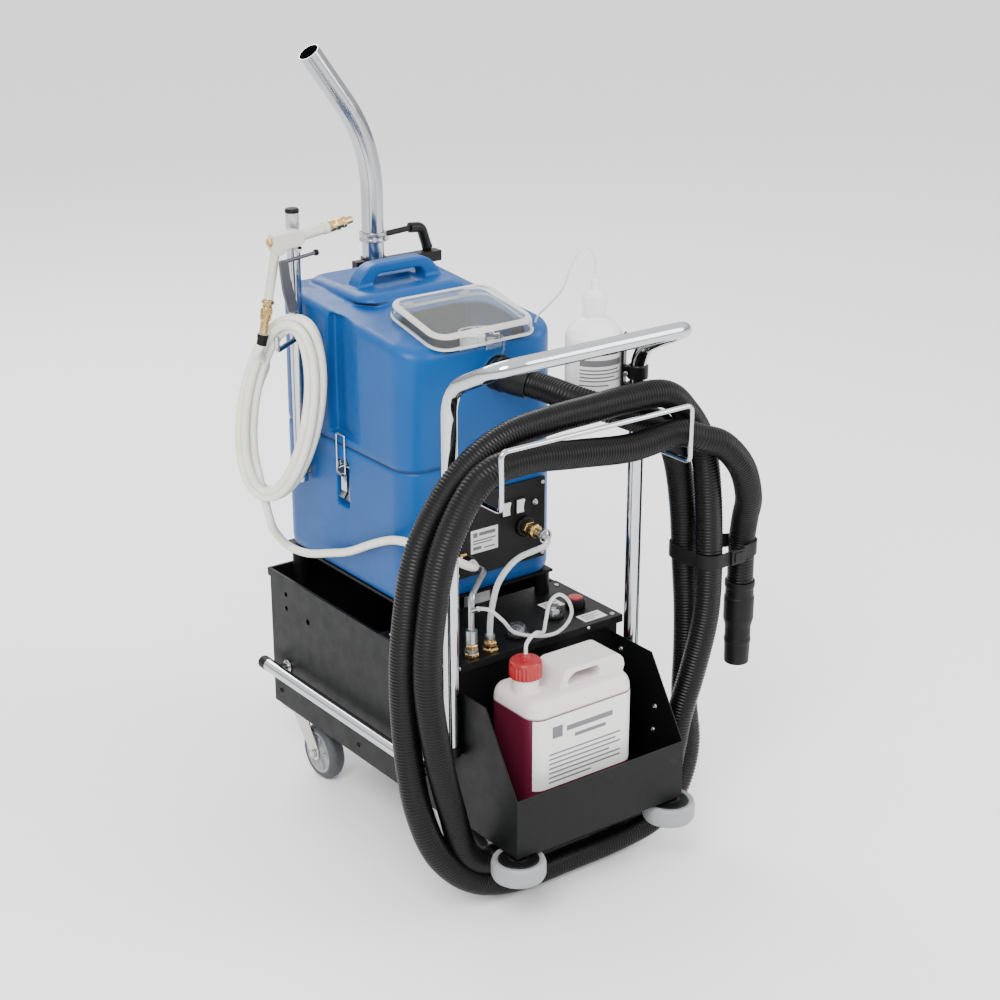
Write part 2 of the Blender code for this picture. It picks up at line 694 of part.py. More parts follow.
def canister(mats):
    """Blow-moulded canister with a moulded handle, and its red cap."""
    mid_x, mid_y = sum(CANISTER_X) / 2, sum(CANISTER_Y) / 2
    half_x = (CANISTER_X[1] - CANISTER_X[0]) / 2
    half_y = (CANISTER_Y[1] - CANISTER_Y[0]) / 2
    floor = TRAY_BOTTOM + SHEET + GAP

    def ring(inset, z):
        return level(rounded(half_x - inset, half_y - inset, 24 - inset, (mid_x, mid_y), 4), z)
    body = loft("canister", [ring(6, floor), ring(0, floor + 6), ring(0, 336), ring(4, 348),
                             ring(14, 356)], mats["milky"])
    arch = [(-44, 350), (88, 350), (88, 372), (76, CANISTER_TOP), (-30, CANISTER_TOP)]
    add(body, plate("grip_operand", arch, "Y", mid_y - 34, mid_y + 34))
    add(body, rod("neck_operand", 21.0, (*CAP, 345), (*CAP, 391), facets=ROUND))
    hand = [(-24, 357), (36, 357), (40, 364), (34, 375), (-12, 375), (-24, 366)]
    cut(body, plate("hand_operand", hand, "Y", mid_y - 50, mid_y + 50))
    cut(body, loft("liquid_operand", [ring(8, floor + 2.5), ring(2.5, floor + 8), ring(2.5, 335),
                                      ring(7, 346), ring(16, 353)], None))
    cut(body, rod("throat_operand", 17.0, (*CAP, 340), (*CAP, 400), facets=ROUND))
    cap = [(0, 391.4), (21.4, 391.4), (21.4, CAP_BASE), (26, CAP_BASE), (26, 402), (23, 406),
           (8, 406), (6, 414), (0, 414)]
    pivot(turned("canister_cap", cap, (*CAP, 0), mats["red"]), *CAP, 391)


def castor(name, x, y, mats):
    """Mounting plate, swivel fork with its axle, and wheel."""
    top = BOX_BOTTOM - GAP
    pad = block("castor_plate_" + name, (x - 38, x + 38), (y - 38, y + 38), (top - 3, top),
                mats["zinc"])
    add(pad, rod("cup_operand", 27.0, (x, y, top - 11), (x, y, top - 1), facets=ROUND))
    crown = top - 11 - GAP
    axle_y, axle_z = y - CASTOR_TRAIL, WHEEL_RADIUS
    leg = WHEEL_HALF_WIDTH + 4.5
    arch = [(x - leg, 30), (x - leg, crown), (x + leg, crown), (x + leg, 30), (x + leg - 2.5, 30),
            (x + leg - 2.5, crown - 4), (x + 2.5 - leg, crown - 4), (x + 2.5 - leg, 30)]
    fork = plate("castor_fork_" + name, arch, "Y", y - 80, y + 60, mats["zinc"])
    cheek = [(y + 24, crown + 5), (y + 24, crown - 12), (axle_y + 14, axle_z - 6),
             (axle_y + 6, axle_z - 13), (axle_y - 6, axle_z - 13), (axle_y - 13, axle_z - 4),
             (axle_y - 12, axle_z + 10), (y - 24, crown - 12), (y - 24, crown + 5)]
    combine(fork, plate("cheek_operand", cheek, "X", x - 30, x + 30), "INTERSECT")
    add(fork, rod("axle_operand", 4.0, (x - leg - 3, axle_y, axle_z), (x + leg + 3, axle_y, axle_z),
                  facets=12))
    pivot(fork, x, y, crown)
    w, r = WHEEL_HALF_WIDTH, WHEEL_RADIUS
    half = [(4.4, -w), (14, -w), (16, 5 - w), (32, 5 - w), (37, 1 - w), (r, 8 - w)]
    profile = half + [(a, -b) for a, b in reversed(half)]
    wheel = turned("castor_wheel_" + name, profile, (x, axle_y, axle_z), mats["grey"], "X",
                   closed=True)
    pivot(wheel, x, axle_y, axle_z)


def roller(name, side, mats):
    """A grey fender roller turning on its stud."""
    r, low, high = ROLLER_RADIUS, ROLLER_BOTTOM, ROLLER_TOP
    bore = STUD_RADIUS + 0.4
    profile = [(bore, low), (26, low), (31, low + 3), (36, low), (r, low + 6),
               (r, high - 6), (36, high), (31, high - 3), (26, high), (bore, high)]
    ob = turned("fender_roller_" + name, profile, (side * ROLLER_X, ROLLER_Y, 0), mats["grey"],
                closed=True)
    pivot(ob, side * ROLLER_X, ROLLER_Y, low)


def spray_gun(mats):
    """Spray gun hung on a chrome post beside the tanks."""
    x, y = POST
    post = swept("gun_post", [(x, y, POST_FOOT), (x, y, POST_TOP)], POST_RADIUS, mats["chrome"], 1.5)
    for low in (578.0, 628.0):
        add(post, block("foot_operand", (x + POST_RADIUS - 1, STAY_END), (y - 10, y + 10),
                        (low, low + 14)))
    hook = [(x - 8, y - 5.5, 811), (-226.5, 199.9, 811), (-226.5, 199.9, 834)]
    add(post, swept("peg_operand", filleted(hook, 8.0, 3), 4.5, None, facets=10))
    rest = [(x, y - POST_RADIUS + 1, 962), (x, GUN_Y + 11.4, 962)]
    add(post, rod("rest_operand", 5.0, rest[0], rest[1], facets=10))
    body = [(-222, 996), (-224, 976), (-218, 962), (-204, 964), (-200, 972), (-178, 972),
            (-166, 978), (-166, 995), (-178, 999)]
    gun = plate("gun_body", body, "Y", GUN_Y - 11, GUN_Y + 11, mats["beige"])
    add(gun, rod("lance_operand", 8.5, (-172, GUN_Y, 986), (-116, GUN_Y, 994)))
    add(gun, rod("inlet_operand", 7.5, (-214, GUN_Y, 974), (-232, GUN_Y, 893)))
    nozzle = rod("gun_nozzle", 10.0, (-115.6, GUN_Y, 994.1), (-84, GUN_Y, 998.6), mats["brass"], 12)
    add(nozzle, rod("jet_operand", 6.0, (-85, GUN_Y, 998.4), (-72, GUN_Y, 1000.3), facets=12))
    pivot(nozzle, -115.6, GUN_Y, 994.1)
    swivel = rod("gun_swivel", 9.5, (-232.1, GUN_Y, 892.6), (-239.2, GUN_Y, 860.6), mats["brass"], 12)
    add(swivel, rod("ferrule_operand", 7.0, (-239, GUN_Y, 861.5), (-244, GUN_Y, 839), facets=12))
    pivot(swivel, -232.1, GUN_Y, 892.6)
    front = GUN_Y - 12
    face = [(-219, 958), (-202, 956), (-200, 930), (-186, 872), (-204, 868), (-214, 905)]
    trigger = plate("gun_trigger", face, "Y", front - 5, front - 0.6, mats["steel"])
    add(trigger, rod("hinge_operand", 3.0, (-212, front - 2, 953), (-150, front - 2, 960), facets=10))
    pivot(trigger, -212, front - 2, 953)


def wand(mats):
    """Cranked chrome wand, its grip, and the clip that holds it behind the tanks."""
    x, y = WAND
    route = [(x, y, WAND_FOOT), (x, y, WAND_BEND), (WAND_TIP[0], y, WAND_TIP[1])]
    swept("wand_tube", filleted(route, 150.0, 7), WAND_RADIUS, mats["chrome"], 1.5, 16)
    inner, outer = WAND_RADIUS + 0.4, WAND_RADIUS + 3.4
    strut = block("wand_clip", (x + 20, x + 42), (343.0, 355.0), (282.0, 884.0), mats["black"])
    foot = block("foot_operand", (x + 22, x + 41), (BOX_REAR + GAP, 345.0), (284.0, 358.0))
    add(strut, foot)
    cup = [(0, 280), (outer, 280), (outer, 330), (inner, 330), (inner, WAND_FOOT - 0.6),
           (0, WAND_FOOT - 0.6)]
    add(strut, turned("cup_operand", cup, (x, y, 0)))
    add(strut, block("bar_operand", (x + 22, 196.0), (344.0, 366.0), (866.0, 884.4)))
    ring = [(inner, 862), (outer, 862), (outer, 888), (inner, 888)]
    add(strut, turned("ring_operand", ring, (x, y, 0), closed=True))
    add(strut, block("ear_operand", (24.0, x - 21), (350.0, 366.0), (866.0, 886.0)))
    ring = [(inner, 916), (outer - 1, 916), (outer - 1, 932), (inner, 932)]
    grip = turned("wand_grip", ring, (x, y, 0), mats["black"], closed=True)
    add(grip, rod("stay_operand", 5.0, (x + 20.6, y, 924), (152, y, 928), facets=12))
    bow = [(142, y, 928), (166, y, 926), (178, y, 890)]
    add(grip, swept("bow_operand", filleted(bow, 9.0, 3), 9.0, None, facets=12))


def insides(mats):
    """Vacuum motor, pump, air standpipe with its float, and the mains gland."""
    floor = BOX_BOTTOM + SHEET + GAP
    x, y = 34.0, 66.0
    case = [(0, floor), (58, floor), (62, 140), (62, 176), (68, 180), (68, 214), (60, 222), (24, 226),
            (24, 246), (0, 246)]
    motor = turned("vacuum_motor", case, (x, y, 0), mats["black"])
    x, y = STANDPIPE
    add(motor, rod("spout_operand", 24.0, (x, y, 190), (x, y, 250), facets=ROUND))
    wall = STANDPIPE_RADIUS - 2
    tube = [(wall, 250.4), (STANDPIPE_RADIUS, 250.4), (STANDPIPE_RADIUS, STANDPIPE_TOP),
            (wall, STANDPIPE_TOP)]
    turned("standpipe", tube, (x, y, 0), mats["white"], closed=True)
    ball = [(0.0, -24.0)]
    ball += [(24.0 * math.cos(math.radians(a)), 24.0 * math.sin(math.radians(a)))
             for a in range(-70, 71, 20)] + [(0.0, 24.0)]
    centre = STANDPIPE_TOP + 15
    pivot(turned("float_ball", ball, (x, y, centre), mats["white"], facets=20), x, y, centre)
    pump = rod("pump", 36.0, (-100, 110, 172), (-100, 240, 172), mats["steel"], ROUND)
    add(pump, block("base_operand", (-136, -64), (120, 230), (floor, 150)))
    add(pump, block("head_operand", (-132, -68), (70, 112), (136, 206)))
    turned("mains_inlet", [(0, 0.4), (14, 0.4), (14, 8), (10, 10), (10, 22), (6, 26), (0, 26)],
           (-92, BOX_REAR, 172), mats["black"], "Y", 16)
    knob = [(0, 0.3), (17, 0.3), (17, 6), (13, 8), (12, 18), (9, 20), (0, 20)]
    pivot(turned("deck_knob", knob, (136, -115, DECK_TOP), mats["black"], facets=20), 136, -115, DECK_TOP)


def vacuum_hose(mats):
    """Black hose: from the tank port, over the hook, twice round the tray, to its end cuff."""
    route = [
        (38.4, -116.8, 786.9), (53, -146, 781.5), (70, -190, 774), (108, -230, 760),
        (150, -244, 741), (184, -245, 730), (216, -240, 702), (246, -232, 645), (264, -229, 560),
        (272, -229, 470), (276, -233, 390), (274, -238, 310), (266, -246, 230), (262, -262, 150),
        (234, -270, 84), (186, -271, 42), (110, -271, 30), (0, -271, 28), (-110, -271, 30),
        (-190, -271, 58), (-250, -268, 120), (-279, -258, 200), (-290, -249, 290),
        (-296, -247, 400), (-291, -247, 500), (-270, -248, 612), (-222, -248, 692),
        (-165, -249, 742), (-103, -250, 768), (-30, -254, 778), (40, -261, 783), (110, -266, 787),
        (184, -267, 781), (228, -267, 744), (262, -268, 690), (273, -276, 610), (274, -284, 500),
        (268, -289, 400), (246, -289, 310), (220, -286, 225), (213, -281, 165), (204, -277, 116),
        (174, -273, 86), (130, -271, 82), (0, -271, 82), (-130, -271, 82), (-174, -272, 86),
        (-208, -274, 120), (-232, -280, 190), (-262, -287, 300), (-283, -292, 430),
        (-276, -294, 540), (-250, -296, 645), (-190, -297, 730), (-112, -298, 745),
        (-20, -298, 735), (90, -298, 722), (180, -300, 728), (222, -312, 714), (262, -319, 696),
        (305, -318, 650), (336, -304, 590), (350, -284, 545), (353, -276, 505), (353, -276, 470),
        (353, -276, 431.6)]
    hose("vacuum_hose", route, HOSE_RADIUS, 72.0, 3, mats["rubber"])
    x, y, z = PORT
    cuff = [(x, y - 8.5, z), (x, y - 34, z), (38.2, -116.4, 787)]
    swept("hose_inlet_cuff", filleted(cuff, 40, 3), 26.0, mats["rubber"], 4.0, ROUND)
    end = [(25, 431.2), (25, 358), (19, 352), (19, 284), (16, 284), (16, 350), (21, 360), (21, 431.2)]
    turned("hose_end_cuff", end, (353, -276, 0), mats["rubber"], closed=True)


def spray_hose(mats):
    """The hank of spray hose on the post's peg, and its two ends: to the panel and the gun."""
    ax, ay = COIL_ACROSS
    across = Vector((ax, ay, 0))
    normal = Vector((-ay, ax, 0))
    centre = Vector(COIL_CENTRE)
    steps, facets = 26, 8
    bm = bmesh.new()
    rows = []
    for i in range(steps):
        t = 2.0 * math.pi * i / steps
        rise = COIL_HALF[1] * math.sin(t)
        here = centre + across * (COIL_HALF[0] * math.cos(t) + COIL_LEAN * rise) + Vector((0, 0, rise))
        ahead = across * (COIL_LEAN * COIL_HALF[1] * math.cos(t) - COIL_HALF[0] * math.sin(t))
        ahead += Vector((0, 0, COIL_HALF[1] * math.cos(t)))
        out = ahead.cross(normal).normalized()
        row = []
        for k in range(facets):
            angle = 2.0 * math.pi * k / facets
            offset = out * COIL_BUNDLE[0] * math.cos(angle) + normal * COIL_BUNDLE[1] * math.sin(angle)
            row.append(bm.verts.new(here + offset))
        rows.append(row)
    for low, high in zip(rows, rows[1:] + rows[:1]):
        for k in range(facets):
            j = (k + 1) % facets
            bm.faces.new((low[k], low[j], high[j], high[k]))
    finish_mesh("spray_hose_coil", bm, mats["hose"])
    run = [(-228, 247, 541.2), (-228, 247, 515), (-214, 250, 480), (-192, 246, 452), (-176, 214, 446),
           (-168, 160, 462), (-165, 100, 484), (-165, 30, 520), (-165, -30, 546), (-162, -85, 556),
           (-140, -122, 548), (-100, -130, 522), (-66, -110, 502), (-54, -88, 498),
           (-53, -71.4, 497)]
    hose("spray_hose_run", run, SPRAY_RADIUS, 20.0, 2, mats["hose"])
    tail = [(-244.1, 212, 838.6), (-247.2, 212, 824.6), (-252, 219, 807), (-250, 233, 792)]
    hose("spray_hose_tail", tail, SPRAY_RADIUS, 16.0, 2, mats["hose"])


def small_tubes(mats):
    """Dosing tube to the lid, pick-up tube to the canister, and the two deck lines."""
    x, y = BOTTLE
    dosing = [(x, y, 955.4), (x, y, 975), (129, -147, 993), (115, -139, 990), (107, -128, 965),
              (106, -108, 925), (110, -72, 893), (116, -38, 868), (117, -26, 852.5)]
    hose("antifoam_tube", dosing, 1.6, 7.0, 1, mats["hose"])
    pickup = [(-112, -183.6, 468.3), (-111, -192, 471.5), (-100, -200, 468), (-78, -201, 446),
              (-50, -197, 416), (8, -190, 392), (46, -189, 391), (68, -189, 412), (62, -189, 438),
              (40, -192, 456), (18, -197, 450), (0, -210, 430), (-24, -234, 424), (-58, -258, 440),
              (-80, -265, 432), (-82, -265, 414.5)]
    hose("pickup_tube", pickup, 3.0, 11.0, 1, mats["hose"])
    supply = [(COUPLING[0], -104.2, COUPLING[1]), (73, -120, 519), (58, -132, 515), (30, -136, 514),
              (0, -140, 512), (-28, -147, 503), (-54, -155, 484), (-70, -162, 452),
              (*DECK_UNION, 425), (*DECK_UNION, 400.4)]
    hose("supply_tube", supply, 5.0, 12.0, 1, mats["hose"])
    x, y = INJECTOR
    line = [(-38, -70.8, 484), (-38, -98, 484), (x, y, 484), (x, y, DECK_TOP + GAP)]
    injector = swept("injector_line", filleted(line, 14.0, 3), 5.0, mats["steel"], facets=12)
    body = [(0, DECK_TOP + GAP), (11, DECK_TOP + GAP), (11, 394), (8, 395), (8, 403), (9.5, 404),
            (9.5, 426), (0, 428)]
    add(injector, turned("valve_operand", body, (x, y, 0), facets=12))
    add(injector, rod("branch_operand", 4.0, (x, y - 4, 460), (x, y - 18, 468), facets=10))


def build():
    """Make the whole machine."""
    empty_file()
    mats = {
        "black": material("black_paint", (0.02, 0.02, 0.022), 0.45),
        "chrome": material("chrome", (0.8, 0.8, 0.8), 0.12, 1.0),
        "steel": material("brushed_steel", (0.45, 0.45, 0.46), 0.35, 1.0),
        "zinc": material("zinc_plate", (0.6, 0.6, 0.58), 0.4, 1.0),
        "brass": material("brass", (0.72, 0.52, 0.22), 0.3, 1.0),
        "blue": material("blue_polyethylene", (0.02, 0.2, 0.62), 0.4),
        "clear": material("clear_plastic", (0.85, 0.88, 0.9), 0.1, 0.0, 0.4),
        "white": material("white_plastic", (0.85, 0.85, 0.84), 0.4),
        "beige": material("beige_plastic", (0.62, 0.6, 0.52), 0.45),
        "milky": material("milky_plastic", (0.85, 0.82, 0.78), 0.4, 0.0, 0.8),
        "red": material("red_plastic", (0.7, 0.04, 0.03), 0.4),
        "grey": material("grey_rubber", (0.4, 0.41, 0.42), 0.6),
        "rubber": material("black_rubber", (0.015, 0.015, 0.015), 0.55),
        "hose": material("pale_hose", (0.78, 0.76, 0.7), 0.4),
    }
    chassis(mats)
    deck_plate(mats)
    canister_tray(mats)
    frame_tubes(mats)
    tank_stand(mats)
    solution_tank(mats)
    recovery_tank(mats)
    tank_lid(mats)
    latch(mats)
    control_panel(mats)
    anti_foam(mats)
    canister(mats)
    for name, (x, y) in CASTORS.items():
        castor(name, x, y, mats)
    roller("left", -1, mats)
    roller("right", 1, mats)
    spray_gun(mats)
    wand(mats)
    insides(mats)
    vacuum_hose(mats)
    spray_hose(mats)
    small_tubes(mats)
    for ob in bpy.data.objects:
        ob.location.x += CENTRING * MM


build()
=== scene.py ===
"""Looks of the spot extractor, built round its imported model.

Lengths are millimetres in the machine's own drawing, where X = 0 is the middle of the chassis.
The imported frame's origin lies CENTRING further left, and to_frame() goes from one to the other.
"""
import math

import bmesh
import bpy
from mathutils import Matrix, Vector


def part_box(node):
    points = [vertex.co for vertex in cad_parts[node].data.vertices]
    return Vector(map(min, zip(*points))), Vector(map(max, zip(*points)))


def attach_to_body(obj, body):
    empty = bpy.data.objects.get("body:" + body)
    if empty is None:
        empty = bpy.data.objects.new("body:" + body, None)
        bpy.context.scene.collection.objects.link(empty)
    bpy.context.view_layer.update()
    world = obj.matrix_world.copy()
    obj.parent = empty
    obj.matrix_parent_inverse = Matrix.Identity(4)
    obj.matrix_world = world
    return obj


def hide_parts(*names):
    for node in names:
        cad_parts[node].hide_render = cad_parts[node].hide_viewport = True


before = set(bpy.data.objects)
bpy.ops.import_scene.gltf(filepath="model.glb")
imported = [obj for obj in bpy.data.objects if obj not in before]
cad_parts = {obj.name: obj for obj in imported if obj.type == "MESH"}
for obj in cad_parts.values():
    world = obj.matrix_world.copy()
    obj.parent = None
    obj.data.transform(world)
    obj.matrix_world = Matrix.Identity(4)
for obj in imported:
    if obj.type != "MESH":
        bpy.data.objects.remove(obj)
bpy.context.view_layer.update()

MM = 0.001
CENTRING = 18.4
TO_FRAME = Matrix.Scale(MM, 4) @ Matrix.Translation((CENTRING, 0.0, 0.0))
ROUND = 48          # sides of an ordinary turned piece

# camera
CAMERA_PLACE = (-1788.6, -2483.8, 1735.7)
CAMERA_HEADING = 36.69
CAMERA_PITCH = 21.74
CAMERA_LENS = 72.6
CAMERA_SHIFT = (0.0022, 0.0294)

# sheet metal
BOX_HALF_X = 178.5
BOX_Y = (-172.0, 339.0)
BOX_Z = (125.0, 379.0)
DECK_TOP = 381.3
DECK_FRONT = -184.0
TRAY_HALF_X = 167.0

# tubes
TUBE_RADIUS = 12.5
HANDLE_X = 180.0
HANDLE_Y = -206.0
HANDLE_BEND = 842.0
HANDLE_FRONT = -329.0
HANDLE_TOP = 902.0
HOOK_FRONT = -333.0
HOOK_LOW = 690.0
HOOK_HIGH = 781.0
HOOK_ROD = 4.0
BAR_X = 203.0
BAR_Z = 208.0
BAR_RADIUS = 11.0
BAR_Y = (-165.0, 335.0)

# tanks
TANK_HALF_X = 149.0
TANK_Y = (-50.0, 337.0)
TANK_CORNER = 45.0
TANK_BASE = 425.0
SEAM = 653.0
TANK_TOP = 882.0
SLOPE_START = 104.0
SLOPE = 0.235
SLOT_Y = 139.0
LID_CENTRE = (3.0, 14.0)
LID_HALF = (100.0, 72.0)
LID_HEIGHT = 22.0
LID_CORNER = 30.0
PORT = (22.0, -50.0, 793.0)
STANDPIPE = (34.0, 20.0)
STANDPIPE_HOLE = 22.6
MOULD_VOXEL = 2.1

# panel
PANEL_X = (-66.0, 117.0)
PANEL_Z = (459.0, 599.0)
PANEL_FRONT = -55.3
SWITCHES = {"left": (38.0, 559.0), "right": (66.0, 559.0)}
COUPLING = (75.0, 521.0)
DECK_UNION = (-76.0, -165.0)
INJECTOR = (-112.0, -165.0)

# bottle, canister
BOTTLE = (135.0, -152.0)
BOTTLE_RADIUS = 45.0
BOTTLE_RIM = 905.0
CANISTER_X = (-112.0, 92.0)
CANISTER_Y = (-324.0, -206.0)
CANISTER_TOP = 384.0
CANISTER_CORNER = 24.0
CAP = (-82.0, -265.0)
LIQUID_LEVEL = 330.0
LABEL_Z = (206.0, 326.0)

# castors and rollers
WHEEL_RADIUS = 50.0
WHEEL_HALF_WIDTH = 16.0
CASTOR_TRAIL = 40.0
CASTORS = {"front_left": (-139.0, -152.0), "front_right": (139.0, -152.0),
           "rear_left": (-139.0, 284.0), "rear_right": (139.0, 284.0)}
ROLLER_X = 153.0
ROLLER_Y = -342.4
ROLLER_RADIUS = 43.0

# gun and wand
POST = (-164.0, 243.0)
GUN_Y = 212.0
WAND = (66.0, 363.0)
WAND_RADIUS = 19.0
WAND_TIP = (-50.0, 1244.0)

# hoses
HOSE_RADIUS = 22.0
SPRAY_RADIUS = 7.0
COIL_CENTRE = (-211.0, 223.0, 704.0)
COIL_ACROSS = (0.568, -0.823)
COIL_HALF = (53.0, 148.0)
COIL_LEAN = 0.2


# ---------------------------------------------------------------- materials

def node(tree, kind, **values):
    """Add a node and set its input sockets by name."""
    made = tree.nodes.new(kind)
    for name, value in values.items():
        made.inputs[name.replace("_", " ")].default_value = value
    return made


def noise(tree, coords, scale, detail=4.0, rough=0.55):
    """A noise texture's value, read at the object's own coordinates."""
    made = node(tree, "ShaderNodeTexNoise", Scale=scale, Detail=detail, Roughness=rough)
    tree.links.new(coords, made.inputs["Vector"])
    return made.outputs["Fac"]


def spread_to(tree, value, low, high, start=0.3, end=0.7):
    """Map the middle of a noise to a range."""
    made = node(tree, "ShaderNodeMapRange", From_Min=start, From_Max=end, To_Min=low, To_Max=high)
    tree.links.new(value, made.inputs["Value"])
    return made.outputs["Result"]


def blend_colours(tree, factor, first, second):
    """Mix two colours, each a tuple or a socket, by a factor socket."""
    made = tree.nodes.new("ShaderNodeMix")
    made.data_type = "RGBA"
    tree.links.new(factor, made.inputs[0])
    for socket, colour in ((made.inputs[6], first), (made.inputs[7], second)):
        if isinstance(colour, tuple):
            socket.default_value = (*colour, 1.0)
        else:
            tree.links.new(colour, socket)
    return made.outputs[2]


def shade(colour, factor):
    """A colour made lighter or darker."""
    return tuple(min(1.0, c * factor) for c in colour)


def surface(name, colour, roughness, metallic=0.0, tint=0.1, mottle=7.0, uneven=0.06,
            grain=400.0, bump=0.1, stretch=(1, 1, 1), worn=None, wear=0.0, **sockets):
    """A procedural finish: mottled colour, uneven gloss, fine grain, and scuffs of a worn colour."""
    mat = bpy.data.materials.new(name)
    mat.use_nodes = True
    tree = mat.node_tree
    shader = tree.nodes["Principled BSDF"]
    shader.inputs["Metallic"].default_value = metallic
    for socket, value in sockets.items():
        shader.inputs[socket.replace("_", " ")].default_value = value
    where = tree.nodes.new("ShaderNodeTexCoord")
    mapping = node(tree, "ShaderNodeMapping", Scale=stretch)
    tree.links.new(where.outputs["Object"], mapping.inputs["Vector"])
    coords = mapping.outputs["Vector"]
    patches = spread_to(tree, noise(tree, coords, mottle), 0.0, 1.0)
    base = blend_colours(tree, patches, shade(colour, 1.0 - tint), shade(colour, 1.0 + tint))
    gloss = spread_to(tree, noise(tree, coords, mottle * 6.0, 6.0), roughness - uneven,
                      roughness + uneven)
    if worn is not None:
        scuffs = noise(tree, coords, 38.0, 9.0, 0.72)
        mask = spread_to(tree, scuffs, 0.0, 1.0, 0.66 - wear, 0.7 - wear)
        base = blend_colours(tree, mask, base, worn)
    tree.links.new(base, shader.inputs["Base Color"])
    tree.links.new(gloss, shader.inputs["Roughness"])
    if bump:
        relief = node(tree, "ShaderNodeBump", Strength=bump, Distance=0.0004)
        tree.links.new(noise(tree, coords, grain, 3.0), relief.inputs["Height"])
        tree.links.new(relief.outputs["Normal"], shader.inputs["Normal"])
    return mat


def filled(mat, height, colour):
    """Tint a finish below a height, where the liquid behind the wall shows through."""
    tree = mat.node_tree
    shader = tree.nodes["Principled BSDF"]
    where = tree.nodes.new("ShaderNodeTexCoord")
    split = tree.nodes.new("ShaderNodeSeparateXYZ")
    tree.links.new(where.outputs["Object"], split.inputs["Vector"])
    above = spread_to(tree, split.outputs["Z"], 0.0, 1.0, (height - 3.0) * MM, (height + 1.0) * MM)
    plain = shader.inputs["Base Color"].links[0].from_socket
    tree.links.new(blend_colours(tree, above, colour, plain), shader.inputs["Base Color"])
    return mat


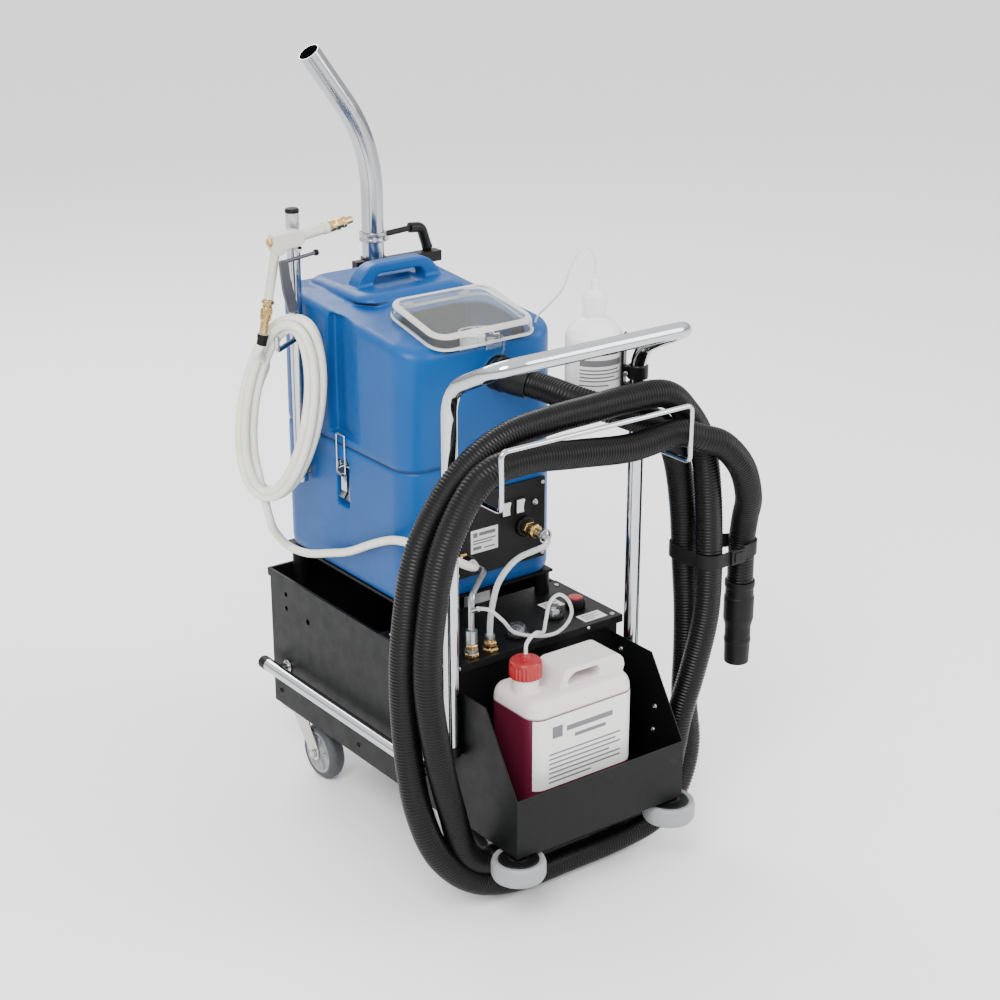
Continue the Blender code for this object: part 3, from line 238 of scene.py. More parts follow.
def make_materials():
    """Every finish on the machine, by short name."""
    return {
        "black": surface("black_powder_coat", (0.0028, 0.003, 0.0033), 0.44, grain=900, bump=0.2,
                         worn=(0.012, 0.012, 0.013), wear=0.02, Specular_IOR_Level=0.16),
        "panel": surface("black_moulding", (0.0035, 0.0035, 0.004), 0.4, grain=1200, bump=0.15,
                         Specular_IOR_Level=0.2),
        "chrome": surface("polished_chrome", (0.50, 0.51, 0.53), 0.08, 1.0, tint=0.02, mottle=12,
                          uneven=0.035, bump=0.01),
        "wand": surface("bright_tube", (0.42, 0.43, 0.45), 0.16, 1.0, tint=0.03, mottle=12,
                        uneven=0.05, grain=700, bump=0.03, stretch=(1, 1, 0.1)),
        "steel": surface("satin_steel", (0.38, 0.39, 0.41), 0.33, 1.0, tint=0.08, grain=900,
                         bump=0.08),
        "gunmetal": surface("gunmetal", (0.13, 0.13, 0.14), 0.4, 1.0, tint=0.1, grain=900,
                            bump=0.06),
        "zinc": surface("zinc_plate", (0.52, 0.51, 0.48), 0.34, 1.0, tint=0.12, mottle=30,
                        uneven=0.1, grain=500, bump=0.06, worn=(0.35, 0.34, 0.31), wear=0.02),
        "brass": surface("brass", (0.60, 0.41, 0.17), 0.26, 1.0, tint=0.12, mottle=40, grain=900,
                         bump=0.05),
        "blue": surface("blue_polyethylene", (0.0004, 0.060, 0.225), 0.4, tint=0.07, mottle=9,
                        uneven=0.05, grain=700, bump=0.1, worn=(0.002, 0.08, 0.26), wear=-0.02,
                        Specular_IOR_Level=0.24),
        # painted shade: a dark blue for the groove between the tanks
        "seam": surface("groove_painted_shade", (0.004, 0.02, 0.06), 0.6),
        "white": surface("white_plastic", (0.80, 0.80, 0.79), 0.36, tint=0.03, grain=800,
                         bump=0.06, Subsurface_Weight=0.08, Subsurface_Scale=0.004),
        "label": surface("printed_label", (0.70, 0.70, 0.68), 0.5, tint=0.02, bump=0.03),
        "ink": surface("grey_ink", (0.12, 0.12, 0.13), 0.5, tint=0.05, bump=0.02),
        "beige": surface("beige_plastic", (0.56, 0.55, 0.49), 0.42, tint=0.05, grain=900, bump=0.1,
                         worn=(0.4, 0.39, 0.34), wear=0.0),
        "red": surface("red_plastic", (0.30, 0.005, 0.008), 0.34, tint=0.08, grain=900, bump=0.08),
        "tyre": surface("grey_tyre", (0.045, 0.05, 0.055), 0.55, tint=0.12, mottle=25, grain=1000,
                        bump=0.2, worn=(0.1, 0.1, 0.1), wear=0.03),
        "hub": surface("grey_hub", (0.24, 0.25, 0.26), 0.42, tint=0.06, mottle=20, bump=0.08,
                       worn=(0.25, 0.25, 0.25), wear=0.0),
        "rubber": surface("black_hose", (0.002, 0.002, 0.0022), 0.38, tint=0.15, mottle=20,
                          uneven=0.07, grain=900, bump=0.06, Specular_IOR_Level=0.2),
        "soft": surface("black_rubber", (0.003, 0.003, 0.003), 0.5, tint=0.15, grain=700, bump=0.12,
                        Specular_IOR_Level=0.2),
        "spray": surface("pale_hose", (0.72, 0.71, 0.63), 0.3, tint=0.06, mottle=16, uneven=0.06,
                         bump=0.02, Subsurface_Weight=0.25, Subsurface_Scale=0.006),
        "tubing": surface("clear_tubing", (0.86, 0.88, 0.87), 0.16, tint=0.02, uneven=0.05,
                          bump=0.01, Transmission_Weight=0.55, IOR=1.42),
        "clear": surface("clear_lid", (0.95, 0.97, 0.97), 0.045, tint=0.02, uneven=0.02, bump=0.01,
                         Transmission_Weight=0.97, IOR=1.22),
        "milk": surface("milky_polyethylene", (0.83, 0.79, 0.76), 0.38, tint=0.03, uneven=0.05,
                        grain=500, bump=0.08, Transmission_Weight=0.45, IOR=1.35,
                        Subsurface_Weight=0.2, Subsurface_Scale=0.01),
        "canister": filled(surface("filled_polyethylene", (0.83, 0.76, 0.74), 0.36, tint=0.03,
                                   uneven=0.05, grain=500, bump=0.08, Transmission_Weight=0.2,
                                   IOR=1.35), LIQUID_LEVEL, (0.11, 0.010, 0.028)),
        "liquid": surface("pink_liquid", (0.30, 0.02, 0.06), 0.08, tint=0.05, uneven=0.02,
                          bump=0.0, Transmission_Weight=0.2, IOR=1.33),
        # painted shade: a near-black for the back of the latch's slot
        "dark": surface("painted_shade_hollow", (0.004, 0.004, 0.005), 0.7),
        # painted shade: a dark blue for the tank's inside walls, where little light reaches
        "inside": surface("tank_inside_painted_shade", (0.004, 0.014, 0.035), 0.4),
    }


# ---------------------------------------------------------------- shapes

def attach(ob, body, replaces=()):
    """Make a piece ride on a body and stand for CAD nodes."""
    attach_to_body(ob, body)
    if replaces:
        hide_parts(*replaces)
    return ob


def linked(name, data):
    """A new object in the scene."""
    ob = bpy.data.objects.new(name, data)
    bpy.context.scene.collection.objects.link(ob)
    return ob


def mesh_object(name, bm, mat, sharp=38.0):
    """Turn a bmesh in millimetres into an object in the frame, smooth up to an angle."""
    bmesh.ops.recalc_face_normals(bm, faces=bm.faces)
    bm.transform(TO_FRAME)
    for face in bm.faces:
        face.smooth = True
    for edge in bm.edges:
        edge.smooth = edge.calc_face_angle(0.0) < math.radians(sharp)
    mesh = bpy.data.meshes.new(name)
    bm.to_mesh(mesh)
    bm.free()
    if mat is not None:
        mesh.materials.append(mat)
    return linked(name, mesh)


def eased(ob, width, segments=3, angle=30.0):
    """Round an object's edges."""
    for edge in ob.data.edges:
        edge.use_edge_sharp = False
    mod = ob.modifiers.new("eased_edges", "BEVEL")
    mod.width = width * MM
    mod.segments = segments
    mod.limit_method = "ANGLE"
    mod.angle_limit = math.radians(angle)
    mod.harden_normals = True
    mod.use_clamp_overlap = True
    mod = ob.modifiers.new("weighted_normals", "WEIGHTED_NORMAL")
    mod.keep_sharp = True
    return ob


def settled(ob):
    """Swap an object's mesh for what its modifiers make of it."""
    graph = bpy.context.evaluated_depsgraph_get()
    mesh = bpy.data.meshes.new_from_object(ob.evaluated_get(graph))
    ob.modifiers.clear()
    ob.data = mesh
    return ob


def combined(base, operand, operation):
    """Apply an exact boolean and throw the operand away."""
    mod = base.modifiers.new("combine", "BOOLEAN")
    mod.operation = operation
    mod.solver = "EXACT"
    mod.object = operand
    settled(base)
    bpy.data.objects.remove(operand, do_unlink=True)
    return base


def cut(base, operand):
    """Take the operand away."""
    return combined(base, operand, "DIFFERENCE")


def add(base, operand):
    """Weld the operand on."""
    return combined(base, operand, "UNION")


def softened(ob, voxel, rounds):
    """Remesh an object and smooth it, as a moulding's edges are."""
    mod = ob.modifiers.new("remesh", "REMESH")
    mod.mode = "VOXEL"
    mod.voxel_size = voxel * MM
    mod.use_smooth_shade = True
    mod = ob.modifiers.new("smooth", "SMOOTH")
    mod.factor = 0.5
    mod.iterations = rounds
    settled(ob)
    return ob


def rounded(half_x, half_y, radius, centre=(0.0, 0.0), steps=10):
    """Points of a rounded rectangle, anticlockwise."""
    points = []
    for sx, sy, start in ((1, 1, 0), (-1, 1, 90), (-1, -1, 180), (1, -1, 270)):
        for step in range(steps + 1):
            angle = math.radians(start + 90.0 * step / steps)
            x = centre[0] + sx * (half_x - radius) + radius * math.cos(angle)
            y = centre[1] + sy * (half_y - radius) + radius * math.sin(angle)
            points.append((x, y))
    return points


def middle(pair):
    """Half way between two values."""
    return (pair[0] + pair[1]) / 2


def half(pair):
    """Half of the distance between two values."""
    return (pair[1] - pair[0]) / 2


def level(outline, z):
    """Lift a flat outline to a height."""
    return [(x, y, z) for x, y in outline]


def face_rings(bm, rows, looped=False):
    """Face a stack of equal rings, capped at both ends or looped back to the first."""
    pairs = list(zip(rows, rows[1:]))
    if looped:
        pairs.append((rows[-1], rows[0]))
    for low, high in pairs:
        for i in range(len(low)):
            j = (i + 1) % len(low)
            bm.faces.new((low[i], low[j], high[j], high[i]))
    if not looped:
        bm.faces.new(rows[0][::-1])
        bm.faces.new(rows[-1])


def skin(name, rings, mat, sharp=38.0, looped=False):
    """Skin equal rings into one closed body."""
    bm = bmesh.new()
    face_rings(bm, [[bm.verts.new(p) for p in ring] for ring in rings], looped)
    return mesh_object(name, bm, mat, sharp)


def plate(name, outline, axis, low, high, mat=None):
    """Extrude a flat outline along an axis; the outline is in the other two axes."""
    place = {"X": lambda a, b, t: (t, a, b), "Y": lambda a, b, t: (a, t, b),
             "Z": lambda a, b, t: (a, b, t)}[axis]
    return skin(name, [[place(a, b, t) for a, b in outline] for t in (low, high)], mat)


def block(name, x, y, z, mat=None):
    """A box between (low, high) pairs."""
    return plate(name, [(x[1], y[1]), (x[0], y[1]), (x[0], y[0]), (x[1], y[0])], "Z", *z, mat)


def arced(points, radius, steps=4, closed=False):
    """Round a polygon's corners as far as its sides allow."""
    points = [Vector(p) for p in points]
    if not closed:
        inner = list(zip(points, points[1:], points[2:]))
    else:
        inner = [(points[i - 1], p, points[(i + 1) % len(points)]) for i, p in enumerate(points)]
    route = [] if closed else [points[0]]
    for before, here, after in inner:
        back, ahead = before - here, after - here
        reach = min(radius, 0.45 * back.length, 0.45 * ahead.length)
        start = here + back.normalized() * reach
        end = here + ahead.normalized() * reach
        if back.angle(ahead, math.pi) > 3.0 or reach < 0.01:
            route.append(here)
            continue
        for step in range(steps + 1):
            t = step / steps
            route.append(start.lerp(here, t).lerp(here.lerp(end, t), t))
    if not closed:
        route.append(points[-1])
    return route


def stand_at(bm, place, towards):
    """Move a mesh drawn along Z to a place, pointing some way."""
    turn = Vector(towards).to_track_quat("Z", "Y").to_matrix().to_4x4()
    bm.transform(Matrix.Translation(Vector(place)) @ turn)


def lathe(name, profile, centre, mat, towards=(0, 0, 1), ease=1.0, sides=ROUND, closed=False):
    """Turn a (radius, height) profile round an axis, with its corners eased."""
    profile = arced(profile, ease, 3, closed)
    bm = bmesh.new()
    rows = []
    for radius, height in profile:
        if radius < 0.001:
            rows.append([bm.verts.new((0.0, 0.0, height))])
            continue
        angles = [2.0 * math.pi * i / sides for i in range(sides)]
        rows.append([bm.verts.new((radius * math.cos(a), radius * math.sin(a), height))
                     for a in angles])
    pairs = list(zip(rows, rows[1:]))
    if closed:
        pairs.append((rows[-1], rows[0]))
    for low, high in pairs:
        for i in range(sides):
            j = (i + 1) % sides
            corner = [low[i % len(low)], low[j % len(low)], high[j % len(high)], high[i % len(high)]]
            corner = list(dict.fromkeys(corner))
            if len(corner) > 2:
                bm.faces.new(corner)
    stand_at(bm, centre, towards)
    return mesh_object(name, bm, mat, 50.0)


def frames_along(route):
    """A pair of side vectors at each point of a route, carried without twist."""
    tangents = []
    for i, here in enumerate(route):
        back = (here - route[i - 1]).normalized() if i else Vector()
        ahead = (route[i + 1] - here).normalized() if i + 1 < len(route) else Vector()
        tangents.append((back + ahead).normalized())
    side = tangents[0].orthogonal().normalized()
    frames = []
    for i, tangent in enumerate(tangents):
        if i:
            side = tangents[i - 1].rotation_difference(tangent) @ side
        frames.append((side.copy(), tangent.cross(side).normalized()))
    return frames


def pipe(name, route, radii, mat, wall=0.0, sides=28, sharp=45.0):
    """Sweep a circle along a route; radii is one size or one for each point."""
    route = [Vector(p) for p in route]
    sizes = radii if isinstance(radii, list) else [radii] * len(route)
    sides_at = frames_along(route)
    bm = bmesh.new()

    def rings(shrink):
        rows = []
        for here, size, (u, v) in zip(route, sizes, sides_at):
            row = []
            for i in range(sides):
                angle = 2.0 * math.pi * i / sides
                out = u * math.cos(angle) + v * math.sin(angle)
                row.append(bm.verts.new(here + out * (size - shrink)))
            rows.append(row)
        return rows

    rows = rings(0.0)
    if wall:
        rows += rings(wall)[::-1]
    face_rings(bm, rows, bool(wall))
    return mesh_object(name, bm, mat, sharp)


def smooth_route(points, spacing):
    """Read evenly spaced points from a smooth curve through the given ones."""
    points = [Vector(p) for p in points]
    ends = [points[0] * 2.0 - points[1]] + points + [points[-1] * 2.0 - points[-2]]
    dense = []
    for a, b, c, d in zip(ends, ends[1:], ends[2:], ends[3:]):
        for step in range(40):
            t = step / 40.0
            dense.append(0.5 * ((2 * b) + (c - a) * t + (2 * a - 5 * b + 4 * c - d) * t * t
                                + (3 * b - a - 3 * c + d) * t * t * t))
    dense.append(points[-1])
    total = sum((b - a).length for a, b in zip(dense, dense[1:]))
    count = max(2, round(total / spacing))
    step, route, travelled = total / count, [dense[0]], 0.0
    for a, b in zip(dense, dense[1:]):
        length = (b - a).length
        while travelled + length >= step * len(route) - 1e-6 and len(route) < count:
            route.append(a.lerp(b, (step * len(route) - travelled) / length))
        travelled += length
    route.append(dense[-1])
    return route


def in_metres(route):
    """A route's points in the frame, in metres."""
    return [tuple(TO_FRAME @ Vector(p)) for p in route]


def line_piece(name, route, radius, mat, resolution=5):
    """A hose or wire as a curve object along a route."""
    curve = bpy.data.curves.new(name, "CURVE")
    curve.dimensions = "3D"
    curve.bevel_depth = radius * MM
    curve.bevel_resolution = resolution
    curve.use_fill_caps = True
    spline = curve.splines.new("POLY")
    spline.points.add(len(route) - 1)
    for point, here in zip(spline.points, in_metres(route)):
        point.co = (*here, 1.0)
    curve.materials.append(mat)
    return linked(name, curve)


def joined(name, parts):
    """Join several objects into one piece."""
    bm = bmesh.new()
    mats = []
    for ob in parts:
        settled(ob)
        mat = ob.data.materials[0]
        if mat not in mats:
            mats.append(mat)
        start = len(bm.faces)
        bm.from_mesh(ob.data)
        bm.faces.ensure_lookup_table()
        for face in bm.faces[start:]:
            face.material_index = mats.index(mat)
    mesh = bpy.data.meshes.new(name)
    bm.to_mesh(mesh)
    bm.free()
    for mat in mats:
        mesh.materials.append(mat)
    for ob in parts:
        bpy.data.objects.remove(ob, do_unlink=True)
    return linked(name, mesh)


def remade(cad_node, mat, body, ease=0.7, segments=2):
    """Stand in for a CAD node with the same shape, its faces merged and its edges eased."""
    bm = bmesh.new()
    bm.from_mesh(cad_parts[cad_node].data)
    bmesh.ops.remove_doubles(bm, verts=bm.verts, dist=0.00002)
    bmesh.ops.dissolve_limit(bm, angle_limit=math.radians(1.0), verts=bm.verts, edges=bm.edges)
    bm.transform(TO_FRAME.inverted())
    ob = mesh_object(cad_node + "_finish", bm, mat)
    if ease:
        eased(ob, ease, segments)
    return attach(ob, body, [cad_node])


def screw(name, place, towards, size, mat):
    """A cross-head screw: a domed head with a recess."""
    head = lathe(name, [(0, -1), (size, -1), (size, size * 0.25), (size * 0.6, size * 0.55),
                        (0, size * 0.62)], place, mat, towards, size * 0.15, 24)
    turn = Vector(towards).to_track_quat("Z", "Y")
    for along in (Vector((1, 0, 0)), Vector((0, 1, 0))):
        bm = bmesh.new()
        bmesh.ops.create_cube(bm, size=1.0)
        wide = Vector((0.22, 0.22, 0.7)) + along * 0.9
        bm.transform(Matrix.Translation(Vector(place) + turn @ Vector((0, 0, size * 0.62)))
                     @ turn.to_matrix().to_4x4() @ Matrix.Diagonal((*(wide * size), 1.0)))
        cut(head, mesh_object(name + "_recess", bm, mat))
    return head


def screws(name, places, towards, size, mat, body):
    """Several screws as one piece."""
    parts = [screw(name + "_part", place, towards, size, mat) for place in places]
    return attach(joined(name, parts), body)


def hexagon(size):
    """Plan of a hexagon by its width across flats."""
    radius = size / math.sqrt(3)
    return [(radius * math.cos(math.radians(60 * i)), radius * math.sin(math.radians(60 * i)))
            for i in range(6)]


def nut(name, place, towards, size, height, mat):
    """A hexagonal nut or bolt head with a chamfered rim."""
    outline = hexagon(size)
    bm = bmesh.new()
    rows = [[bm.verts.new((x * k, y * k, z)) for x, y in outline]
            for k, z in ((0.93, 0.0), (1.0, height * 0.12), (1.0, height * 0.85), (0.9, height))]
    face_rings(bm, rows)
    stand_at(bm, place, towards)
    return eased(mesh_object(name, bm, mat, 20.0), 0.4, 2, 20.0)


# ---------------------------------------------------------------- camera, floor, light

def set_camera():
    """The camera, above the machine's front left."""
    data = bpy.data.cameras.new("camera")
    data.lens = CAMERA_LENS
    data.sensor_width = 36.0
    data.shift_x, data.shift_y = CAMERA_SHIFT
    data.clip_end = 200.0
    ob = linked("camera", data)
    ob.location = TO_FRAME @ Vector(CAMERA_PLACE)
    ob.rotation_euler = (math.radians(90.0 - CAMERA_PITCH), 0.0, math.radians(-CAMERA_HEADING))
    bpy.context.scene.camera = ob


def set_stage():
    """A wide pale floor."""
    bm = bmesh.new()
    bmesh.ops.create_grid(bm, x_segments=1, y_segments=1, size=40.0)
    mesh = bpy.data.meshes.new("floor")
    bm.to_mesh(mesh)
    bm.free()
    mat = bpy.data.materials.new("floor")
    mat.use_nodes = True
    shader = mat.node_tree.nodes["Principled BSDF"]
    shader.inputs["Base Color"].default_value = (0.92, 0.92, 0.92, 1.0)
    shader.inputs["Roughness"].default_value = 0.7
    shader.inputs["Specular IOR Level"].default_value = 0.2
    mesh.materials.append(mat)
    linked("floor", mesh)


def set_light():
    """A bright room and three large soft lamps."""
    world = bpy.data.worlds.new("studio")
    bpy.context.scene.world = world
    world.use_nodes = True
    tree = world.node_tree
    background = tree.nodes["Background"]
    where = tree.nodes.new("ShaderNodeTexCoord")
    height = tree.nodes.new("ShaderNodeSeparateXYZ")
    tree.links.new(where.outputs["Generated"], height.inputs["Vector"])
    ramp = tree.nodes.new("ShaderNodeValToRGB")
    ramp.color_ramp.elements[0].position = 0.0
    ramp.color_ramp.elements[0].color = (0.30, 0.30, 0.31, 1.0)
    ramp.color_ramp.elements[1].position = 0.45
    ramp.color_ramp.elements[1].color = (1.0, 1.0, 1.0, 1.0)
    tree.links.new(height.outputs["Z"], ramp.inputs["Fac"])
    tree.links.new(ramp.outputs["Color"], background.inputs["Color"])
    background.inputs["Strength"].default_value = 1.7
    lamps = (("key", (-2.6, -2.4, 3.4), 2.4, 220.0), ("fill", (2.8, -2.8, 2.2), 2.6, 95.0),
             ("back", (0.6, 3.2, 3.0), 2.2, 90.0))
    for name, place, size, power in lamps:
        data = bpy.data.lights.new(name, "AREA")
        data.shape = "DISK"
        data.size = size
        data.energy = power
        ob = linked(name, data)
        ob.location = place
        ob.rotation_euler = (Vector((0, 0, 0.5)) - ob.location).to_track_quat("-Z", "Y").to_euler()


# ---------------------------------------------------------------- hoses

VACUUM_ROUTE = [
    (38.4, -116.8, 786.9), (53, -146, 781.5), (70, -190, 774), (108, -230, 760),
    (150, -244, 741), (184, -245, 730), (216, -240, 702), (246, -232, 645), (264, -229, 560),
    (272, -229, 470), (276, -233, 390), (274, -238, 310), (266, -246, 230), (262, -262, 150),
    (234, -270, 84), (186, -271, 42), (110, -271, 30), (0, -271, 28), (-110, -271, 30),
    (-190, -271, 58), (-250, -268, 120), (-279, -258, 200), (-290, -249, 290),
    (-296, -247, 400), (-291, -247, 500), (-270, -248, 612), (-222, -248, 692),
    (-165, -249, 742), (-103, -250, 768), (-30, -254, 778), (40, -261, 783), (110, -266, 787),
    (184, -267, 781), (228, -267, 744), (262, -268, 690), (273, -276, 610), (274, -284, 500),
    (268, -289, 400), (246, -289, 310), (220, -286, 225), (213, -281, 165), (204, -277, 116),
    (174, -273, 86), (130, -271, 82), (0, -271, 82), (-130, -271, 82), (-174, -272, 86),
    (-208, -274, 120), (-232, -280, 190), (-262, -287, 300), (-283, -292, 430),
    (-276, -294, 540), (-250, -296, 645), (-190, -297, 730), (-112, -298, 745),
    (-20, -298, 735), (90, -298, 722), (180, -300, 728), (222, -312, 714), (262, -319, 696),
    (305, -318, 650), (336, -304, 590), (350, -284, 545), (353, -276, 505), (353, -276, 470),
    (353, -276, 431.6)]
RUN_ROUTE = [
    (-228, 247, 541.2), (-228, 247, 515), (-214, 250, 480), (-192, 246, 452), (-176, 214, 446),
    (-168, 160, 462), (-165, 100, 484), (-165, 30, 520), (-165, -30, 546), (-162, -85, 556),
    (-140, -122, 548), (-100, -130, 522), (-66, -110, 502), (-54, -88, 498), (-53, -71.4, 497)]
TAIL_ROUTE = [(-244.1, 212, 838.6), (-247.2, 212, 824.6), (-252, 219, 807), (-250, 233, 792)]
DOSING_ROUTE = [
    (135, -152, 955.4), (135, -152, 975), (129, -147, 993), (115, -139, 990), (107, -128, 965),
    (106, -108, 925), (110, -72, 893), (116, -38, 868), (117, -26, 852.5)]
PICKUP_ROUTE = [
    (-112, -183.6, 468.3), (-111, -192, 471.5), (-100, -200, 468), (-78, -201, 446), (-50, -197, 416),
    (8, -190, 392), (46, -189, 391), (68, -189, 412), (62, -189, 438), (40, -192, 456), (18, -197, 450),
    (0, -210, 430), (-24, -234, 424), (-58, -258, 440), (-80, -265, 432), (-82, -265, 414.5)]
SUPPLY_ROUTE = [
    (75, -104.2, 521), (73, -120, 519), (58, -132, 515), (30, -136, 514), (0, -140, 512),
    (-28, -147, 503), (-54, -155, 484), (-70, -162, 452), (*DECK_UNION, 425), (*DECK_UNION, 400.4)]


def declare(ob, route, radius, nodes, body, slot, **facts):
    """Make a hose piece ride and stand for its CAD solids."""
    attach(ob, body, nodes)


def vacuum_hose(mats):
    """The ribbed vacuum hose, with its cuffs and the strap round its strands."""
    pitch = 5.2
    route = smooth_route(VACUUM_ROUTE, pitch / 4)
    rib = (HOSE_RADIUS, HOSE_RADIUS - 0.2, HOSE_RADIUS - 1.4, HOSE_RADIUS - 1.2)
    radii = [rib[i % 4] for i in range(len(route))]
    hose = pipe("vacuum_hose_ribbed", route, radii, mats["rubber"], sides=24, sharp=120.0)
    cuff = [(25, 431.2), (25, 421), (23.6, 419), (23.6, 404), (25, 402), (25, 364), (22, 352),
            (21.4, 349), (21.4, 330), (22.2, 328), (22.2, 322), (21.4, 320), (20.4, 284), (16, 284),
            (16, 350), (21, 360), (21, 431.2)]
    end = lathe("hose_end_cuff_turned", cuff, (353, -276, 0), mats["soft"], ease=1.2, closed=True)
    attach(end, "frame", ["hose_end_cuff"])
    declare(hose, route, HOSE_RADIUS, ["vacuum_hose"], "frame", "black_rubber", far_end="fitting",
            stiffness="stiff", lay="coiled", path=in_metres(route), with_pieces=[end])
    x, y, z = PORT
    bend = arced([(x, y - 8.5, z), (x, y - 34, z), (38.2, -116.4, 787)], 30.0, 10)
    sizes = [26.0] * len(bend)
    sizes[0] = 25.0
    sizes[-1] = 24.6
    inlet = pipe("hose_inlet_cuff_bend", bend, sizes, mats["soft"], wall=3.5, sides=ROUND)
    attach(inlet, "frame", ["hose_inlet_cuff"])
    collar = lathe("hose_inlet_collar", [(26.3, 0), (28, 0), (28, 12), (26.3, 12)],
                   (x, y - 12, z), mats["soft"], (0, -1, 0), 0.8, closed=True)
    attach(collar, "frame")
    strap(mats)


def hull(points):
    """Convex hull of plan points, anticlockwise."""
    points = sorted(set(points))
    sides = []
    for order in (points, points[::-1]):
        chain = []
        for p in order:
            while len(chain) > 1 and ((chain[-1][0] - chain[-2][0]) * (p[1] - chain[-2][1])
                                      <= (chain[-1][1] - chain[-2][1]) * (p[0] - chain[-2][0])):
                chain.pop()
            chain.append(p)
        sides += chain[:-1]
    return sides


def strap(mats):
    """The strap that holds the right-hand strands together."""
    strands = ((270.0, -229.0), (274.0, -284.5), (353.0, -276.0))
    height, centre = 24.0, 492.0

    def loop(radius):
        dots = []
        for x, y in strands:
            for i in range(36):
                angle = math.radians(10 * i)
                dots.append((round(x + radius * math.cos(angle), 4),
                             round(y + radius * math.sin(angle), 4)))
        return hull(dots)
    outer = plate("hose_strap", loop(HOSE_RADIUS + 3.2), "Z", centre - height / 2,
                  centre + height / 2, mats["soft"])
    inner = plate("strap_operand", loop(HOSE_RADIUS + 1.2), "Z", centre - 30, centre + 30, None)
    band = eased(cut(outer, inner), 0.5, 2)
    buckle = block("strap_buckle", (300, 330), (-311, -303), (480, 504), mats["panel"])
    ridge = block("strap_ridge", (306, 324), (-313, -309.5), (484, 500), mats["panel"])
    attach(joined("hose_strap", [band, eased(buckle, 1.2), eased(ridge, 1.0)]), "frame")


def spray_hose(mats):
    """The spray hose: from the gun, round its hank, and on to the panel."""
    across = Vector((*COIL_ACROSS, 0.0))
    normal = Vector((-COIL_ACROSS[1], COIL_ACROSS[0], 0.0))
    centre = Vector(COIL_CENTRE)
    turns = 4.2
    start = math.radians(150)
    steps = 100
    coil = []
    for i in range(steps + 1):
        share = i / steps
        t = start + 2.0 * math.pi * turns * share
        phase = math.radians(72.0 * turns * share + 60.0)
        swell = 1.0 + 0.035 * math.sin(2.1 * t)
        rise = COIL_HALF[1] * swell * math.sin(t)
        here = centre + across * (COIL_HALF[0] * swell * math.cos(t) + COIL_LEAN * rise)
        ahead = across * (COIL_LEAN * COIL_HALF[1] * math.cos(t) - COIL_HALF[0] * math.sin(t))
        ahead += Vector((0, 0, COIL_HALF[1] * math.cos(t)))
        out = ahead.cross(normal).normalized()
        here += out * (11.0 * math.cos(phase) - 3.0) + normal * 12.5 * math.sin(phase)
        here.z += rise
        coil.append(here)
    route = smooth_route(TAIL_ROUTE[:3] + coil + RUN_ROUTE[1:], 7.0)
    hose = line_piece("spray_hose_line", route, SPRAY_RADIUS, mats["spray"], 7)
    ferrules = [lathe("ferrule_part", [(7.3, 0), (9.0, 0), (9.0, 5), (8.2, 7), (8.2, 16), (7.3, 18)],
                      route[0], mats["soft"], (-0.217, 0, -0.976), 0.6, closed=True),
                lathe("ferrule_part", [(7.3, 0), (9.4, 0), (9.4, 14), (7.3, 17)], route[-1],
                      mats["soft"], (0, -1, 0), 0.6, closed=True)]
    near = attach(joined("spray_hose_ferrules", ferrules), "frame")
    declare(hose, route, SPRAY_RADIUS, ["spray_hose_coil", "spray_hose_run", "spray_hose_tail"],
            "frame", "pale_hose", far_end="object", stiffness="medium", lay="hanging",
            with_pieces=[near])


def small_tubes(mats):
    """The clear tubes: dosing, pick-up and supply."""
    for name, points, radius, body, lay in (
            ("antifoam_tube", DOSING_ROUTE, 1.6, "recovery_tank", "hanging"),
            ("pickup_tube", PICKUP_ROUTE, 3.0, "canister", "loose"),
            ("supply_tube", SUPPLY_ROUTE, 5.0, "frame", "hanging")):
        route = smooth_route(points, max(2.5, radius))
        ob = line_piece(name + "_line", route, radius, mats["tubing"], 6)
        declare(ob, route, radius, [name], body, "clear_tube", far_end="object",
                stiffness="medium", lay=lay)


# ---------------------------------------------------------------- sheet metal and tubes

def drill(place, towards, radius, depth=12.0):
    """Cutter for a round hole."""
    return lathe("drill", [(0, -depth), (radius, -depth), (radius, depth), (0, depth)], place, None,
                 towards, 0.01, 20)


def pierced(cad_node, mat, body, holes, ease):
    """A remade CAD node with round holes in it."""
    ob = remade(cad_node, mat, body, 0.0)
    for hole in holes:
        cut(ob, hole)
    return eased(ob, ease, 2)


